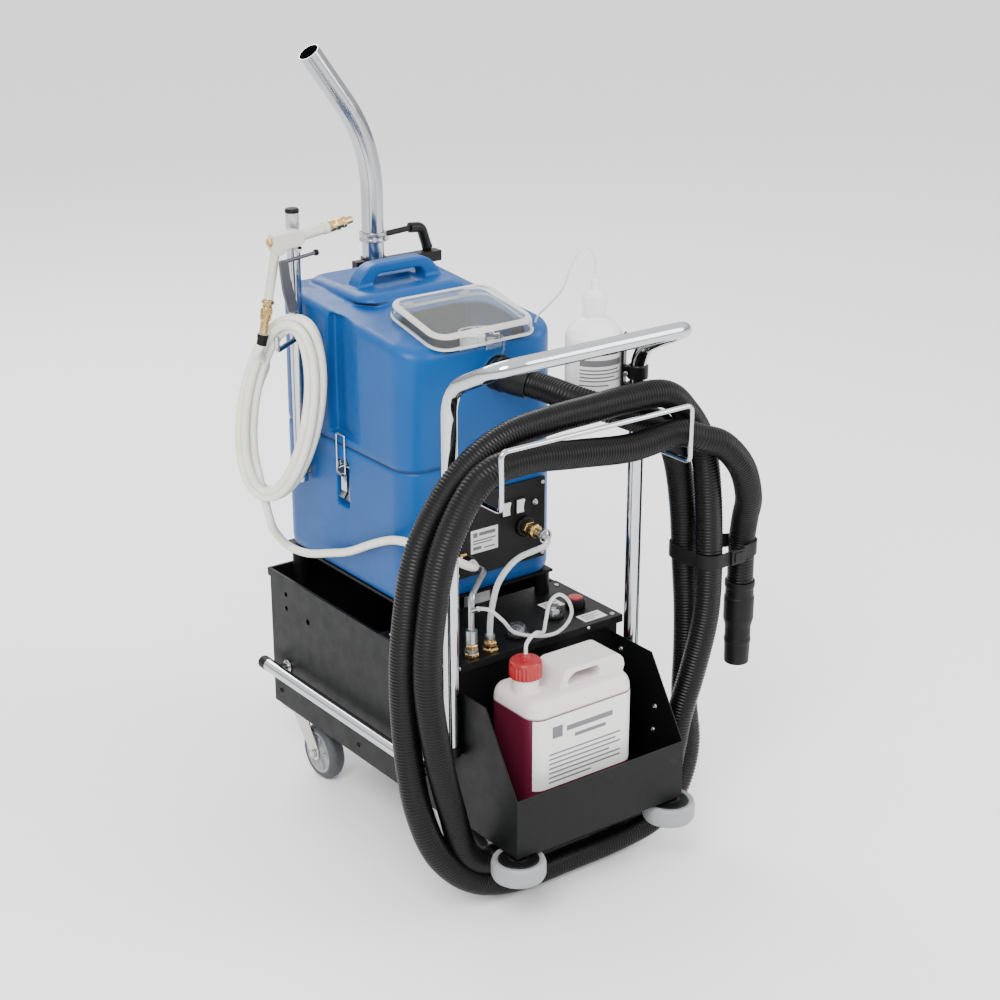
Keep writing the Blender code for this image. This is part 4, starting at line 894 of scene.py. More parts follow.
def sheet_metal(mats):
    """Box, deck plate, tray and stand, with their holes and screws."""
    holes = []
    for side in (-1, 1):
        for y, z, radius in ((288, 345, 4.5), (288, 319, 4.5), (218, 318, 5.5)):
            holes.append(drill((side * BOX_HALF_X, y, z), (1, 0, 0), radius))
    pierced("chassis", mats["black"], "frame", holes, 0.5)
    pierced("canister_tray", mats["black"], "frame", [], 0.6)
    remade("deck_plate", mats["black"], "frame", 0.7)
    remade("tank_stand", mats["black"], "frame", 1.0)
    deck = [(x, y, DECK_TOP) for x, y in ((-168, -170), (60, -172), (168, -172), (-168, -24), (168, -24))]
    screws("deck_screws", deck, (0, 0, 1), 4.2, mats["zinc"], "frame")
    front = [(x, DECK_FRONT, 376.5) for x in (-150, 108)]
    screws("lip_screws", front, (0, -1, 0), 3.4, mats["zinc"], "frame")
    cheek = [(2.0 - TRAY_HALF_X, y, z) for y, z in ((-200, 330), (-200, 160))]
    screws("tray_screws_left", cheek, (1, 0, 0), 4.5, mats["zinc"], "frame")
    cheek = [(TRAY_HALF_X - 2.0, y, z) for y, z in ((-288, 260), (-285, 217), (-200, 330))]
    screws("tray_screws_right", cheek, (-1, 0, 0), 4.5, mats["zinc"], "frame")
    outside = [(-BOX_HALF_X, y, z) for y, z in ((-150, 350), (-150, 150), (318, 150), (70, 146))]
    screws("box_screws_left", outside, (-1, 0, 0), 4.5, mats["panel"], "frame")
    outside = [(BOX_HALF_X, y, z) for _, y, z in outside]
    screws("box_screws_right", outside, (1, 0, 0), 4.5, mats["panel"], "frame")
    rear = [(x, BOX_Y[1], z) for x in (-150, 150) for z in (150, 352)]
    screws("box_screws_rear", rear, (0, 1, 0), 4.5, mats["panel"], "frame")


def mirrored(route):
    """A route from one flank over to the same place on the other."""
    return route + [(-x, y, z) for x, y, z in reversed(route)]


def frame_tubes(mats):
    """Push handle, hose hook and side bars."""
    x = HANDLE_X
    side = [(x, HANDLE_Y, 247.0), (x, HANDLE_Y, HANDLE_BEND), (x, HANDLE_FRONT, HANDLE_TOP)]
    route = arced(mirrored(side), 42.0, 12)
    handle = pipe("push_handle_tube", route, TUBE_RADIUS, mats["chrome"], 1.5, 40)
    attach(handle, "frame", ["push_handle"])
    start = HANDLE_Y - TUBE_RADIUS
    bracket = [(x, start, HOOK_LOW), (x, HOOK_FRONT, HOOK_LOW), (x, HOOK_FRONT, HOOK_HIGH)]
    route = arced(mirrored(bracket), 11.0, 8)
    hook = pipe("hose_hook_rod", route, HOOK_ROD, mats["chrome"], 0.0, 24)
    welds = [lathe("weld", [(4, 0), (6.4, -0.6), (5.6, 1.4), (4.2, 3.4), (3.8, 3.4), (3.8, 0)],
                   (side * x, start + 0.4, HOOK_LOW), mats["chrome"], (0, -1, 0), 0.3, 24, True)
             for side in (-1, 1)]
    attach(joined("hose_hook_welded", [hook] + welds), "frame", ["hose_hook"])
    feet = []
    for side in (-1, 1):
        feet.append(lathe("clamp", [(12.7, 247), (15.5, 247), (15.5, 263), (12.7, 263)],
                          (side * x, HANDLE_Y, 0), mats["panel"], ease=1.0, closed=True))
        feet.append(block("clamp", (side * x - 5, side * x + 5), (-193.0, -184.5), (247, 263),
                          mats["panel"]))
    attach(joined("handle_clamps", feet), "frame")
    for name, side in (("left", -1), ("right", 1)):
        place = side * BAR_X
        parts = [pipe("bar", [(place, BAR_Y[0] + 12, BAR_Z), (place, BAR_Y[1] - 12, BAR_Z)], BAR_RADIUS,
                      mats["chrome"], 1.5, 36)]
        for y in (-120.0, 290.0):
            route = [(side * (BAR_X - 2), y, BAR_Z), (side * (BOX_HALF_X + 0.4), y, BAR_Z)]
            parts.append(pipe("arm", route, 7.0, mats["chrome"], 0.0, 28))
            parts.append(lathe("washer", [(7, 0), (12, 0), (12, 2), (7, 3)], route[1], mats["zinc"],
                               (side, 0, 0), 0.4, 32, True))
        ends = [(BAR_Y[0], 1), (BAR_Y[1], -1)]
        for y, way in ends:
            cap = [(0, 0), (9, 0), (11, 1.6), (11.5, 4), (11.5, 20), (10.8, 21), (0, 21)]
            parts.append(lathe("cap", cap, (place, y, BAR_Z), mats["soft"], (0, way, 0), 0.8, 36))
            rivet = [(0, -0.4), (5, -0.4), (6.4, 0.2), (6.4, 1.4), (0, 1.4)]
            parts.append(lathe("rivet", rivet, (place, y, BAR_Z), mats["zinc"], (0, way, 0), 0.3, 28))
        attach(joined("side_bar_tube_" + name, parts), "frame", ["side_bar_" + name])


# ---------------------------------------------------------------- tanks

def tank_outline(inset, steps=14):
    """Plan of the tanks, drawn in by an inset."""
    return rounded(TANK_HALF_X - inset, half(TANK_Y) - inset, TANK_CORNER - inset,
                   (0.0, middle(TANK_Y)), steps)


def roof(y):
    """Height of the recovery tank's roof."""
    return TANK_TOP - SLOPE * max(0.0, SLOPE_START - y)


def roofed(outline, below):
    """Lay an outline on the roof, some way below it."""
    return [(x, y, roof(y) - below) for x, y in outline]


def roof_centre(inset, below):
    """The tank's plan shrunk almost to a point, where the roof's rings meet."""
    return [(x * 0.001, SLOPE_START + (y - SLOPE_START) * 0.001, TANK_TOP - below)
            for x, y in tank_outline(inset)]


def slot_cutter(grow):
    """Cutter for the slot that the latch lies in."""
    depth = 14.0 + grow
    return block("slot", (-TANK_HALF_X - 10.0, depth - TANK_HALF_X),
                 (SLOT_Y - 18.0 - grow, SLOT_Y + 18.0 + grow), (548.0 - grow, 626.0 + grow))


def depth_in(x, y, centre, size, corner):
    """How far a plan point lies inside a rounded rectangle."""
    across = abs(x - centre[0]) - (size[0] - corner)
    along = abs(y - centre[1]) - (size[1] - corner)
    outside = math.hypot(max(across, 0.0), max(along, 0.0))
    return corner - outside - min(0.0, max(across, along))


def repaint(ob, mat, wanted):
    """Give a second finish to the faces whose middle and upward lean pass a test."""
    ob.data.materials.append(mat)
    slot = len(ob.data.materials) - 1
    back = TO_FRAME.inverted()
    for face in ob.data.polygons:
        if wanted(*(back @ face.center), face.normal.z):
            face.material_index = slot


def solution_tank(mats):
    """The lower tank, with an overhanging lip under the seam, and a dark blue ring of painted shade in the seam's
    groove.
    """
    outer = [(12, TANK_BASE), (6, TANK_BASE + 1.6), (2, TANK_BASE + 7), (0, TANK_BASE + 16),
             (0, SEAM - 8), (0.8, SEAM - 3), (3, SEAM - 0.5)]
    tank = skin("solution_tank_moulding", [level(tank_outline(i), z) for i, z in outer], mats["blue"])
    hollow = skin("hollow", [level(tank_outline(i), z) for i, z in
                             ((14, TANK_BASE + 4), (4, TANK_BASE + 16), (4, SEAM - 6), (6, SEAM + 10))],
                  None)
    cut(hollow, slot_cutter(4.0))
    cut(tank, slot_cutter(0.0))
    cut(tank, hollow)
    cut(tank, drill((*STANDPIPE, TANK_BASE), (0, 0, 1), STANDPIPE_HOLE, 20))
    softened(tank, MOULD_VOXEL, 5)
    attach(tank, "frame", ["solution_tank"])
    # A dark blue ring in the groove between the tanks: painted shade where the groove lies in shadow.
    seam = skin("tank_groove_shade_ring", [level(tank_outline(i), z) for i, z in
                                     ((3.2, SEAM - 3), (3.2, SEAM + 3))], mats["seam"])
    cut(seam, skin("hollow", [level(tank_outline(6.5), SEAM - 9), level(tank_outline(6.5), SEAM + 9)],
                   None))
    attach(seam, "frame")


def recess(side, grow):
    """Cutter for the tapering recess in a flank."""
    outer = side * (TANK_HALF_X + 10.0)
    deep, shallow = side * (TANK_HALF_X - 18.0 - grow), side * (TANK_HALF_X + 0.5 - grow)
    outline = [(outer, 80), (outer, 176 + grow), (deep, 176 + grow), (deep, 160), (shallow, 80)]
    return plate("recess", outline, "Z", 668 - grow, 866 + grow)


def recovery_tank(mats):
    """The upper tank, with its handle, mouth, port and side recesses, and painted shade on its inside walls."""
    inset = [(0.0, 16.0), (0.5, 12.2), (1.8, 8.6), (4.6, 4.6), (8.6, 1.8), (12.2, 0.5), (16.0, 0.0)]
    rings = [level(tank_outline(3), SEAM), level(tank_outline(0.8), SEAM + 3),
             level(tank_outline(0), SEAM + 8)]
    rings += [roofed(tank_outline(1 + i), below) for i, below in inset]
    tank = skin("recovery_tank_moulding", rings + [roof_centre(16, 0)], mats["blue"])
    rings = [level(tank_outline(12), SEAM + 4), level(tank_outline(4), SEAM + 12),
             roofed(tank_outline(6), 22), roofed(tank_outline(16), 5), roofed(tank_outline(20), 4)]
    hollow = skin("hollow", rings + [roof_centre(20, 4)], None)
    for side in (-1, 1):
        cut(hollow, recess(side, 4.0))
        cut(tank, recess(side, 0.0))
    mound = [(104, 96, 34, -3), (103, 95, 33, 1), (100, 92, 30, 5), (95, 87, 27, 8.6), (88, 80, 24, 11)]
    add(tank, skin("mound", [level(rounded(a, b, r, (0, 222)), TANK_TOP + up)
                             for a, b, r, up in mound], None))
    arch = arced([(-82, 880), (82, 880), (82, 900), (56, 928), (-56, 928), (-82, 900)], 22, 6, True)
    grip = arced([(-50, 884), (50, 884), (50, 900), (40, 911), (-40, 911), (-50, 900)], 7, 4, True)
    add(tank, plate("handle", arch, "Y", 184.0, 214.0))
    cut(tank, plate("grip", grip, "Y", 170.0, 230.0))
    x, y, z = PORT
    add(tank, drill((x, y - 3, z), (0, 1, 0), 25.0, 5.0))
    cut(tank, hollow)
    cut(tank, drill((x, y, z), (0, 1, 0), 21.0, 20.0))
    mouth = rounded(LID_HALF[0] - 12, LID_HALF[1] - 12, 22, LID_CENTRE)
    cut(tank, skin("mouth", [level(mouth, 820), level(mouth, 920)], None))
    cut(tank, drill((*STANDPIPE, SEAM), (0, 0, 1), STANDPIPE_HOLE, 20))
    softened(tank, MOULD_VOXEL, 6)
    plan = (0.0, middle(TANK_Y)), (TANK_HALF_X, half(TANK_Y))

    # The inside walls get a dark blue finish: painted shade inside the tank, not a colour of the plastic.
    def within(x, y, z, lean):
        flank = abs(x) > TANK_HALF_X - 24.0 and 72.0 < y < 186.0 and 660.0 < z < 874.0
        deep = depth_in(x, y, *plan, TANK_CORNER) > 2.8
        outer_roof = lean > 0.2 and z > roof(y) - 40.0
        return deep and not flank and not outer_roof and SEAM + 3.6 < z < roof(y) - 1.6
    repaint(tank, mats["inside"], within)
    attach(tank, "recovery_tank", ["recovery_tank"])
    ring = [(25.2, 0), (28.5, 0), (28.5, 3), (25.2, 3)]
    attach(lathe("port_flange", ring, (x, y - 3.4, z), mats["soft"], (0, -1, 0), 0.5, closed=True),
           "recovery_tank")


def lid_ring(inset, above):
    """A rounded rectangle lying on the sloping roof."""
    outline = rounded(LID_HALF[0] - inset, LID_HALF[1] - inset, max(4.0, LID_CORNER - inset),
                      LID_CENTRE, 12)
    return [(x, y, TANK_TOP - SLOPE * (SLOPE_START - y) + above) for x, y in outline]


def lid(mats):
    """The clear box lid with its milky rim, hinge lugs, clip and strap."""
    rings = ((LID_HEIGHT + 3, 19.0), (8, 19.4), (5.6, 18.6), (4.2, 16.6), (3.2, 12), (2.6, 0.4),
             (0.5, 0.4), (0.7, 12), (1.6, 17.6), (3.4, 20.6), (6.4, 21.8), (12, 21.95),
             (LID_HEIGHT + 3, 22.0))
    box = skin("tank_lid_moulding", [lid_ring(i, up) for i, up in rings], mats["clear"], 60)

    def edge(x, y, z, _):
        inset = depth_in(x, y, LID_CENTRE, LID_HALF, LID_CORNER)
        return inset < 12.0 and z - TANK_TOP + SLOPE * (SLOPE_START - y) > 17.8
    repaint(box, mats["milk"], edge)
    attach(box, "lid", ["tank_lid"])
    band = ((3.4, 3.6), (3.4, 0.5), (-1.2, 0.5), (-1.4, 2.2), (-0.6, 3.6))
    parts = [skin("rim", [lid_ring(i, up) for i, up in band], mats["milk"], looped=True)]
    back = LID_CENTRE[1] + LID_HALF[1]
    for x in (-52, 58):
        lug = block("lug", (x - 9, x + 9), (back - 4, back + 5), (roof(89) + 1.5, roof(89) + 8.5),
                    mats["milk"])
        parts.append(eased(lug, 2.0, 3))
    attach(joined("lid_rim", parts), "lid")
    front = LID_CENTRE[1] - LID_HALF[1]
    clip = [(front - 1, roof(front) + 16), (front - 5.5, roof(front) + 13),
            (front - 7.5, roof(front) - 6), (front - 3.2, roof(front) - 9),
            (front - 3.0, roof(front) + 2), (front + 2, roof(front) + 8)]
    buckle = eased(plate("clip", clip, "X", -6.0, 21.0, mats["clear"]), 1.0, 3)
    route = [(25, front - 1.5, roof(front) + 10), (26, front - 7, roof(front) + 4),
             (26, front - 8, roof(front) - 10), (26, TANK_Y[0] - 4, 812)]
    band = pipe("strap", arced(route, 6, 5), 1.3, mats["clear"], 0, 12)
    attach(joined("lid_clip", [buckle, band]), "lid")


def inside_tanks(mats):
    """Standpipe, float and the float's cage."""
    x, y = STANDPIPE
    tube = [(20, 250.4), (22, 250.4), (22, 800), (20, 800)]
    attach(lathe("standpipe_tube", tube, (x, y, 0), mats["white"], ease=0.8, closed=True), "frame",
           ["standpipe"])
    ball = [(24.0 * math.cos(math.radians(a)), 24.0 * math.sin(math.radians(a)))
            for a in range(-90, 91, 6)]
    ball = [(0, -24)] + [p for p in ball if p[0] > 12.5] + [(12, 20.8), (9, 22.2), (9, 24), (0, 24)]
    attach(lathe("float_ball_turned", ball, (x, y, 815.0), mats["white"], ease=0.4), "float",
           ["float_ball"])
    cage = [lathe("cage", [(26.6, z), (28.6, z), (28.6, z + 3), (26.6, z + 3)], (x, y, 0),
                  mats["white"], ease=0.5, closed=True) for z in (788, 836)]
    for i in range(6):
        angle = math.radians(60 * i)
        here = Vector((x + 27.6 * math.cos(angle), y + 27.6 * math.sin(angle), 789))
        cage.append(pipe("cage", [here, here + Vector((0, 0, 49))], 1.4, mats["white"], 0, 10))
        foot = Vector((x + 22.3 * math.cos(angle), y + 22.3 * math.sin(angle), 790))
        cage.append(pipe("cage", [foot, here + Vector((0, 0, 1))], 1.2, mats["white"], 0, 8))
    attach(joined("float_cage", cage), "frame")


def latch(mats):
    """Toggle latch: lever, bail, backing plate, a dark sheet of painted shade at the back of its slot, and the
    keeper above the seam.
    """
    remade("latch_lever", mats["chrome"], "latch_lever", 0.5, 3)
    eye = Vector((-TANK_HALF_X - 2.6, SLOT_Y, 606.0))
    loop = [eye, eye + Vector((0, 12, 0)), eye + Vector((0, 12, 66)), eye + Vector((0, -12, 66)),
            eye + Vector((0, -12, 0))]
    corners = arced(loop[1:], 4.0, 6, True)
    bail = pipe("latch_bail_wire", corners + corners[:2], 1.6, mats["chrome"], 0.0, 16)
    attach(bail, "latch_bail", ["latch_bail"])
    x = -TANK_HALF_X + 14.0
    back = block("latch_plate", (x - 1.9, x - 0.9), (SLOT_Y - 13, SLOT_Y + 13), (551, 623),
                 mats["zinc"])
    # A near-black sheet at the back of the latch's slot: painted shade in the recess.
    slot_shade_sheet = block("slot_back_painted_shade", (x - 0.9, x - 0.2), (SLOT_Y - 17.4, SLOT_Y + 17.4), (548.8, 625.2),
                  mats["dark"])
    parts = [eased(back, 0.3, 2), slot_shade_sheet]
    for z in (557, 598):
        parts.append(screw("latch_screw", (x - 1.9, SLOT_Y, z), (-1, 0, 0), 2.6, mats["zinc"]))
    for side in (-1, 1):
        ear = block("latch_ear", (x - 10, x - 1), (SLOT_Y + side * 14 - 1, SLOT_Y + side * 14 + 1),
                    (609, 623), mats["zinc"])
        parts.append(eased(ear, 0.8, 2))
    attach(joined("latch_base", parts), "frame")


# ---------------------------------------------------------------- panel and deck fittings

def lying(rows, place, across, up, mat, thick=0.35, ease=0.2):
    """Thin raised bars (x, y, width, height) laid on a surface."""
    across, up = Vector(across), Vector(up)
    out = across.cross(up)
    parts = []
    for x, y, width, height in rows:
        corners = [(x, y), (x + width, y), (x + width, y + height), (x, y + height)]
        rings = [[Vector(place) + across * a + up * b + out * t for a, b in corners]
                 for t in (-0.4, thick)]
        parts.append(eased(skin("bar", rings, mat), ease, 2))
    return parts


def label(name, place, across, up, size, rows, mats, body):
    """A printed label with plain bars in place of its words."""
    width, height = size
    parts = lying([(0, 0, width, height)], place, across, up, mats["label"], 0.4)
    out = Vector(across).cross(Vector(up)) * 0.4
    bars = [(x * width, y * height, w * width, h * height) for x, y, w, h in rows]
    parts += lying(bars, Vector(place) + out, across, up, mats["ink"], 0.12, 0.05)
    return attach(joined(name, parts), body)


def nozzle_stack(name, profile, place, towards, mat, hexes=(), sides=36):
    """A turned fitting with hexagonal collars at given (height, size, thickness)."""
    parts = [lathe(name, profile, place, mat, towards, 0.5, sides)]
    for height, size, thick in hexes:
        here = Vector(place) + Vector(towards).normalized() * height
        parts.append(nut(name, here, towards, size, thick, mat))
    return joined(name, parts)


def control_panel(mats):
    """Panel with rockers, coupling, nipples, screws and a plain label."""
    remade("control_panel", mats["panel"], "frame", 0.8, 3)
    y = PANEL_FRONT
    for name, (x, z) in SWITCHES.items():
        remade("switch_" + name, mats["white"], "switch_" + name, 0.9, 3)
        frame_outer = rounded(10.2, 14.4, 2.0, (x, z), 4)
        surround = plate("surround", frame_outer, "Y", y - 2.2, y + 0.6, mats["panel"])
        cut(surround, plate("gap", rounded(8.0, 12.3, 1.0, (x, z), 3), "Y", y - 5, y + 3))
        attach(eased(surround, 0.6, 2), "frame").name = "switch_surround_" + name
    places = [(x, y, z) for x in (PANEL_X[0] + 7, 112) for z in (PANEL_Z[0] + 7, PANEL_Z[1] - 9)]
    screws("panel_screws", places + [(-48, y, 487)], (0, -1, 0), 3.4, mats["zinc"], "frame")
    x, z = COUPLING
    flange = [(0, 0.3), (16.5, 0.3), (17.5, 1.2), (17.5, 4.5), (15, 6), (12.5, 6)]
    boss = lathe("boss", flange + [(12.5, 8), (0, 8)], (x, y - 0.3, z), mats["panel"], (0, -1, 0), 0.6)
    attach(boss, "frame").name = "coupling_boss"
    body = [(0, 0.5), (10, 0.5), (10, 9), (9, 10), (9, 19), (11.8, 20), (11.8, 31), (10, 32), (8, 33),
            (8, 37), (8.8, 38), (7.6, 41), (8.6, 41.5), (7.4, 45), (8.2, 45.5), (6.8, 48), (0, 48)]
    brass = nozzle_stack("panel_coupling_turned", body, (x, y, z), (0, -1, 0), mats["brass"],
                         ((8, 21, 8), (24, 22, 6)))
    attach(brass, "frame", ["panel_coupling"])
    ring = [(9.2, 0), (12.2, 0), (12.2, 6), (9.2, 6)]
    clip = lathe("hose_clip", ring, (x, y - 51, z), mats["steel"], (0, -1, 0), 0.4, closed=True)
    attach(clip, "frame")
    for i, (nx, nz) in enumerate(((-53.0, 497.0), (-38.0, 484.0))):
        fitting = [(0, 0), (8.6, 0), (8.6, 2), (7, 3), (7, 9), (5.8, 10), (5.8, 16), (0, 16)]
        piece = nozzle_stack("panel_nipple", fitting, (nx, y - 0.2, nz), (0, -1, 0), mats["brass"],
                             ((2.4, 17.5, 6),))
        attach(piece, "frame").name = "panel_nipple_%d" % i
    rows = [(0.08, 0.68, 0.16, 0.2), (0.3, 0.72, 0.6, 0.14), (0.08, 0.5, 0.84, 0.06),
            (0.08, 0.38, 0.7, 0.06), (0.08, 0.14, 0.3, 0.14), (0.48, 0.14, 0.4, 0.06)]
    label("panel_label", (-33, y, 497), (1, 0, 0), (0, 0, 1), (54, 40), rows, mats, "frame")
    lamp = lathe("pilot_lamp", [(0, 0), (5, 0), (5, 1.6), (3.6, 2.4), (3.4, 4.4), (2, 5.6), (0, 5.8)],
                 (96, y, 559), mats["zinc"], (0, -1, 0), 0.4)
    attach(lamp, "frame")


def deck_fittings(mats):
    """Injector line with its collars, deck union, hose clip and sight bowls."""
    top = DECK_TOP
    left = [(0, -0.5), (11, -0.5), (11, 7), (8, 8), (8, 19), (0, 19)]
    union = nozzle_stack("deck_union", left, (*DECK_UNION, top), (0, 0, 1), mats["brass"],
                         ((0, 24, 6), (8.6, 19, 8)))
    attach(union, "frame")
    clip = lathe("hose_clip", [(5.6, 0), (8, 0), (8, 6), (5.6, 6)], (*DECK_UNION, top + 21), mats["steel"],
                 ease=0.4, closed=True)
    attach(clip, "frame")
    remade("injector_line", mats["steel"], "frame", 0.4)
    rings = []
    for z, size, thick in ((top + 0.4, 22, 7), (top + 12, 18, 9), (top + 27, 15, 7)):
        rings.append(nut("collar", (*INJECTOR, z), (0, 0, 1), size, thick, mats["brass"]))
    attach(joined("injector_collars", rings), "frame")
    for i, (x, y, r) in enumerate(((85.0, -122.0, 13.0), (-8.0, -146.0, 15.0))):
        bowl = [(0, -0.4), (r + 3, -0.4), (r + 3, 3), (r + 1, 5), (r, 5), (r, 14), (r - 3, 19), (0, 20)]
        attach(lathe("sight_bowl", bowl, (x, y, top), mats["clear"], ease=1.5), "frame").name = "sight_bowl_%d" % i
        core = [(0, 0.2), (r - 4, 0.2), (r - 5, 9), (4, 11), (0, 11)]
        attach(lathe("sight_core", core, (x, y, top), mats["steel"], ease=0.6), "frame").name = "sight_core_%d" % i
        ring = [(r + 1.4, 0), (r + 4.4, 0), (r + 4.4, 4), (r + 1.4, 5.4)]
        attach(lathe("sight_ring", ring, (x, y, top), mats["panel"], ease=0.6, closed=True), "frame").name = "sight_ring_%d" % i


def scalloped(name, centre, radius, low, high, teeth, depth, mat, ease=1.2):
    """A grip with shallow flutes round it."""
    rings = []
    for inset, z in ((ease, low), (0.3, low + 0.7 * ease), (0, low + 1.6 * ease),
                     (0, high - 1.6 * ease), (0.3, high - 0.7 * ease), (ease, high)):
        ring = []
        for i in range(teeth * 6):
            angle = 2.0 * math.pi * i / (teeth * 6)
            size = radius - inset - depth * (0.5 - 0.5 * math.cos(angle * teeth)) ** 2
            ring.append((centre[0] + size * math.cos(angle), centre[1] + size * math.sin(angle), z))
        rings.append(ring)
    return skin(name, rings, mat, 50.0)


def knob_and_labels(mats):
    """The deck's knob with its red pointer, and two dial labels."""
    x, y = 136.0, -115.0
    low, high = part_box("deck_knob")
    base, top = low[2] / MM, high[2] / MM
    grip = scalloped("deck_knob_grip", (x, y), (high[0] - low[0]) / MM / 2, base, top - 3, 12, 1.2,
                     mats["panel"])
    cap = lathe("top", [(0, top - 4), (12, top - 4), (12, top - 1.4), (10.5, top - 0.2), (0, top)],
                (x, y, 0), mats["red"], ease=0.8)
    attach(joined("deck_knob_turned", [grip, cap]), "deck_knob", ["deck_knob"])
    rows = [(0.1, 0.7, 0.8, 0.1), (0.1, 0.5, 0.55, 0.08), (0.1, 0.34, 0.7, 0.08), (0.1, 0.14, 0.4, 0.1)]
    label("deck_label_rear", (92, -96, DECK_TOP), (1, 0, 0), (0, 1, 0), (38, 26), rows, mats, "frame")
    label("deck_label_front", (112, -172, DECK_TOP), (1, 0, 0), (0, 1, 0), (46, 26), rows, mats, "frame")


# ---------------------------------------------------------------- bottle and canister

def curved_label(name, centre, radius, low, high, spread, facing, rows, mats, body):
    """A label wrapped on a round bottle, with plain bars in place of its words."""
    def patch(reach, lift, bottom, top, mat):
        steps = 24
        bm = bmesh.new()
        grid = []
        for out in (radius + lift - 0.25, radius + lift):
            line = []
            for i in range(steps + 1):
                angle = facing + reach[0] + (reach[1] - reach[0]) * i / steps
                dx, dy = out * math.cos(angle), out * math.sin(angle)
                line.append([bm.verts.new((centre[0] + dx, centre[1] + dy, z)) for z in (bottom, top)])
            grid.append(line)
        for i in range(steps):
            for line in grid:
                bm.faces.new((line[i][0], line[i + 1][0], line[i + 1][1], line[i][1]))
            for k in (0, 1):
                bm.faces.new((grid[0][i][k], grid[0][i + 1][k], grid[1][i + 1][k], grid[1][i][k]))
        for i in (0, steps):
            bm.faces.new((grid[0][i][0], grid[0][i][1], grid[1][i][1], grid[1][i][0]))
        return mesh_object("patch", bm, mat)
    edge = spread / 2
    parts = [patch((-edge, edge), 0.35, low, high, mats["label"])]
    for x, y, w, h in rows:
        reach = (-edge + x * spread, -edge + (x + w) * spread)
        bottom = low + y * (high - low)
        parts.append(patch(reach, 0.5, bottom, bottom + h * (high - low), mats["ink"]))
    return attach(joined(name, parts), body)


def anti_foam(mats):
    """Dosing bottle, its ribbed cap and nozzle, and the bracket on the handle."""
    r, rim = BOTTLE_RADIUS, BOTTLE_RIM
    x, y = BOTTLE
    outer = [(0, 751), (r - 8, 751), (r - 3, 750), (r, 754), (r, 858), (r - 4, 869), (r - 12, 877),
             (24, 884), (17.4, 887), (16, 890), (16, rim)]
    inner = [(14, rim), (14, 888), (22, 882), (r - 8, 871), (r - 2, 857), (r - 2, 757), (r - 6, 752.6),
             (0, 752.6)]
    bottle = lathe("antifoam_bottle_blown", outer + inner, (x, y, 0), mats["white"], ease=2.5, sides=64)
    attach(bottle, "frame", ["antifoam_bottle"])
    ribs = scalloped("cap", (x, y), 18.5, 889.6, 922, 30, 1.0, mats["white"], 1.0)
    dome = lathe("dome", [(17.2, 920), (16.4, 925), (13, 928.4), (6.5, 929.4), (6.5, 944), (5, 946),
                          (3, 948), (3, 955), (0, 955)], (x, y, 0), mats["white"], ease=0.8)
    attach(joined("bottle_cap_ribbed", [ribs, dome]), "bottle_cap", ["bottle_cap"])
    rows = [(0.12, 0.56, 0.76, 0.14), (0.12, 0.46, 0.7, 0.03), (0.12, 0.38, 0.76, 0.03),
            (0.12, 0.3, 0.62, 0.03), (0.12, 0.22, 0.76, 0.03), (0.12, 0.12, 0.5, 0.03),
            (0.2, 0.8, 0.6, 0.04)]
    curved_label("bottle_label", BOTTLE, r, 778, 850, math.radians(120), math.radians(-112), rows,
                 mats, "frame")
    remade("bottle_holder", mats["panel"], "frame", 0.5)
    reach = (Vector((HANDLE_X, HANDLE_Y)) - Vector(BOTTLE)).normalized()
    side = Vector((-reach.y, reach.x))
    out = Vector((HANDLE_X, HANDLE_Y)) - reach * 16.2 - side * 2
    heads = [nut("bolt", (out.x - side.x * 14, out.y - side.y * 14, z), (-side.x, -side.y, 0), 7.5, 4,
                 mats["zinc"]) for z in (775, 803)]
    attach(joined("collar_bolts", heads), "frame")


def canister_plan(inset, steps):
    """Plan of the canister, drawn in by an inset."""
    return rounded(half(CANISTER_X) - inset, half(CANISTER_Y) - inset,
                   max(3.0, CANISTER_CORNER - inset), (middle(CANISTER_X), middle(CANISTER_Y)), steps)


def canister_ring(inset, z):
    """The canister's plan at a height."""
    return level(canister_plan(inset, 8), z)


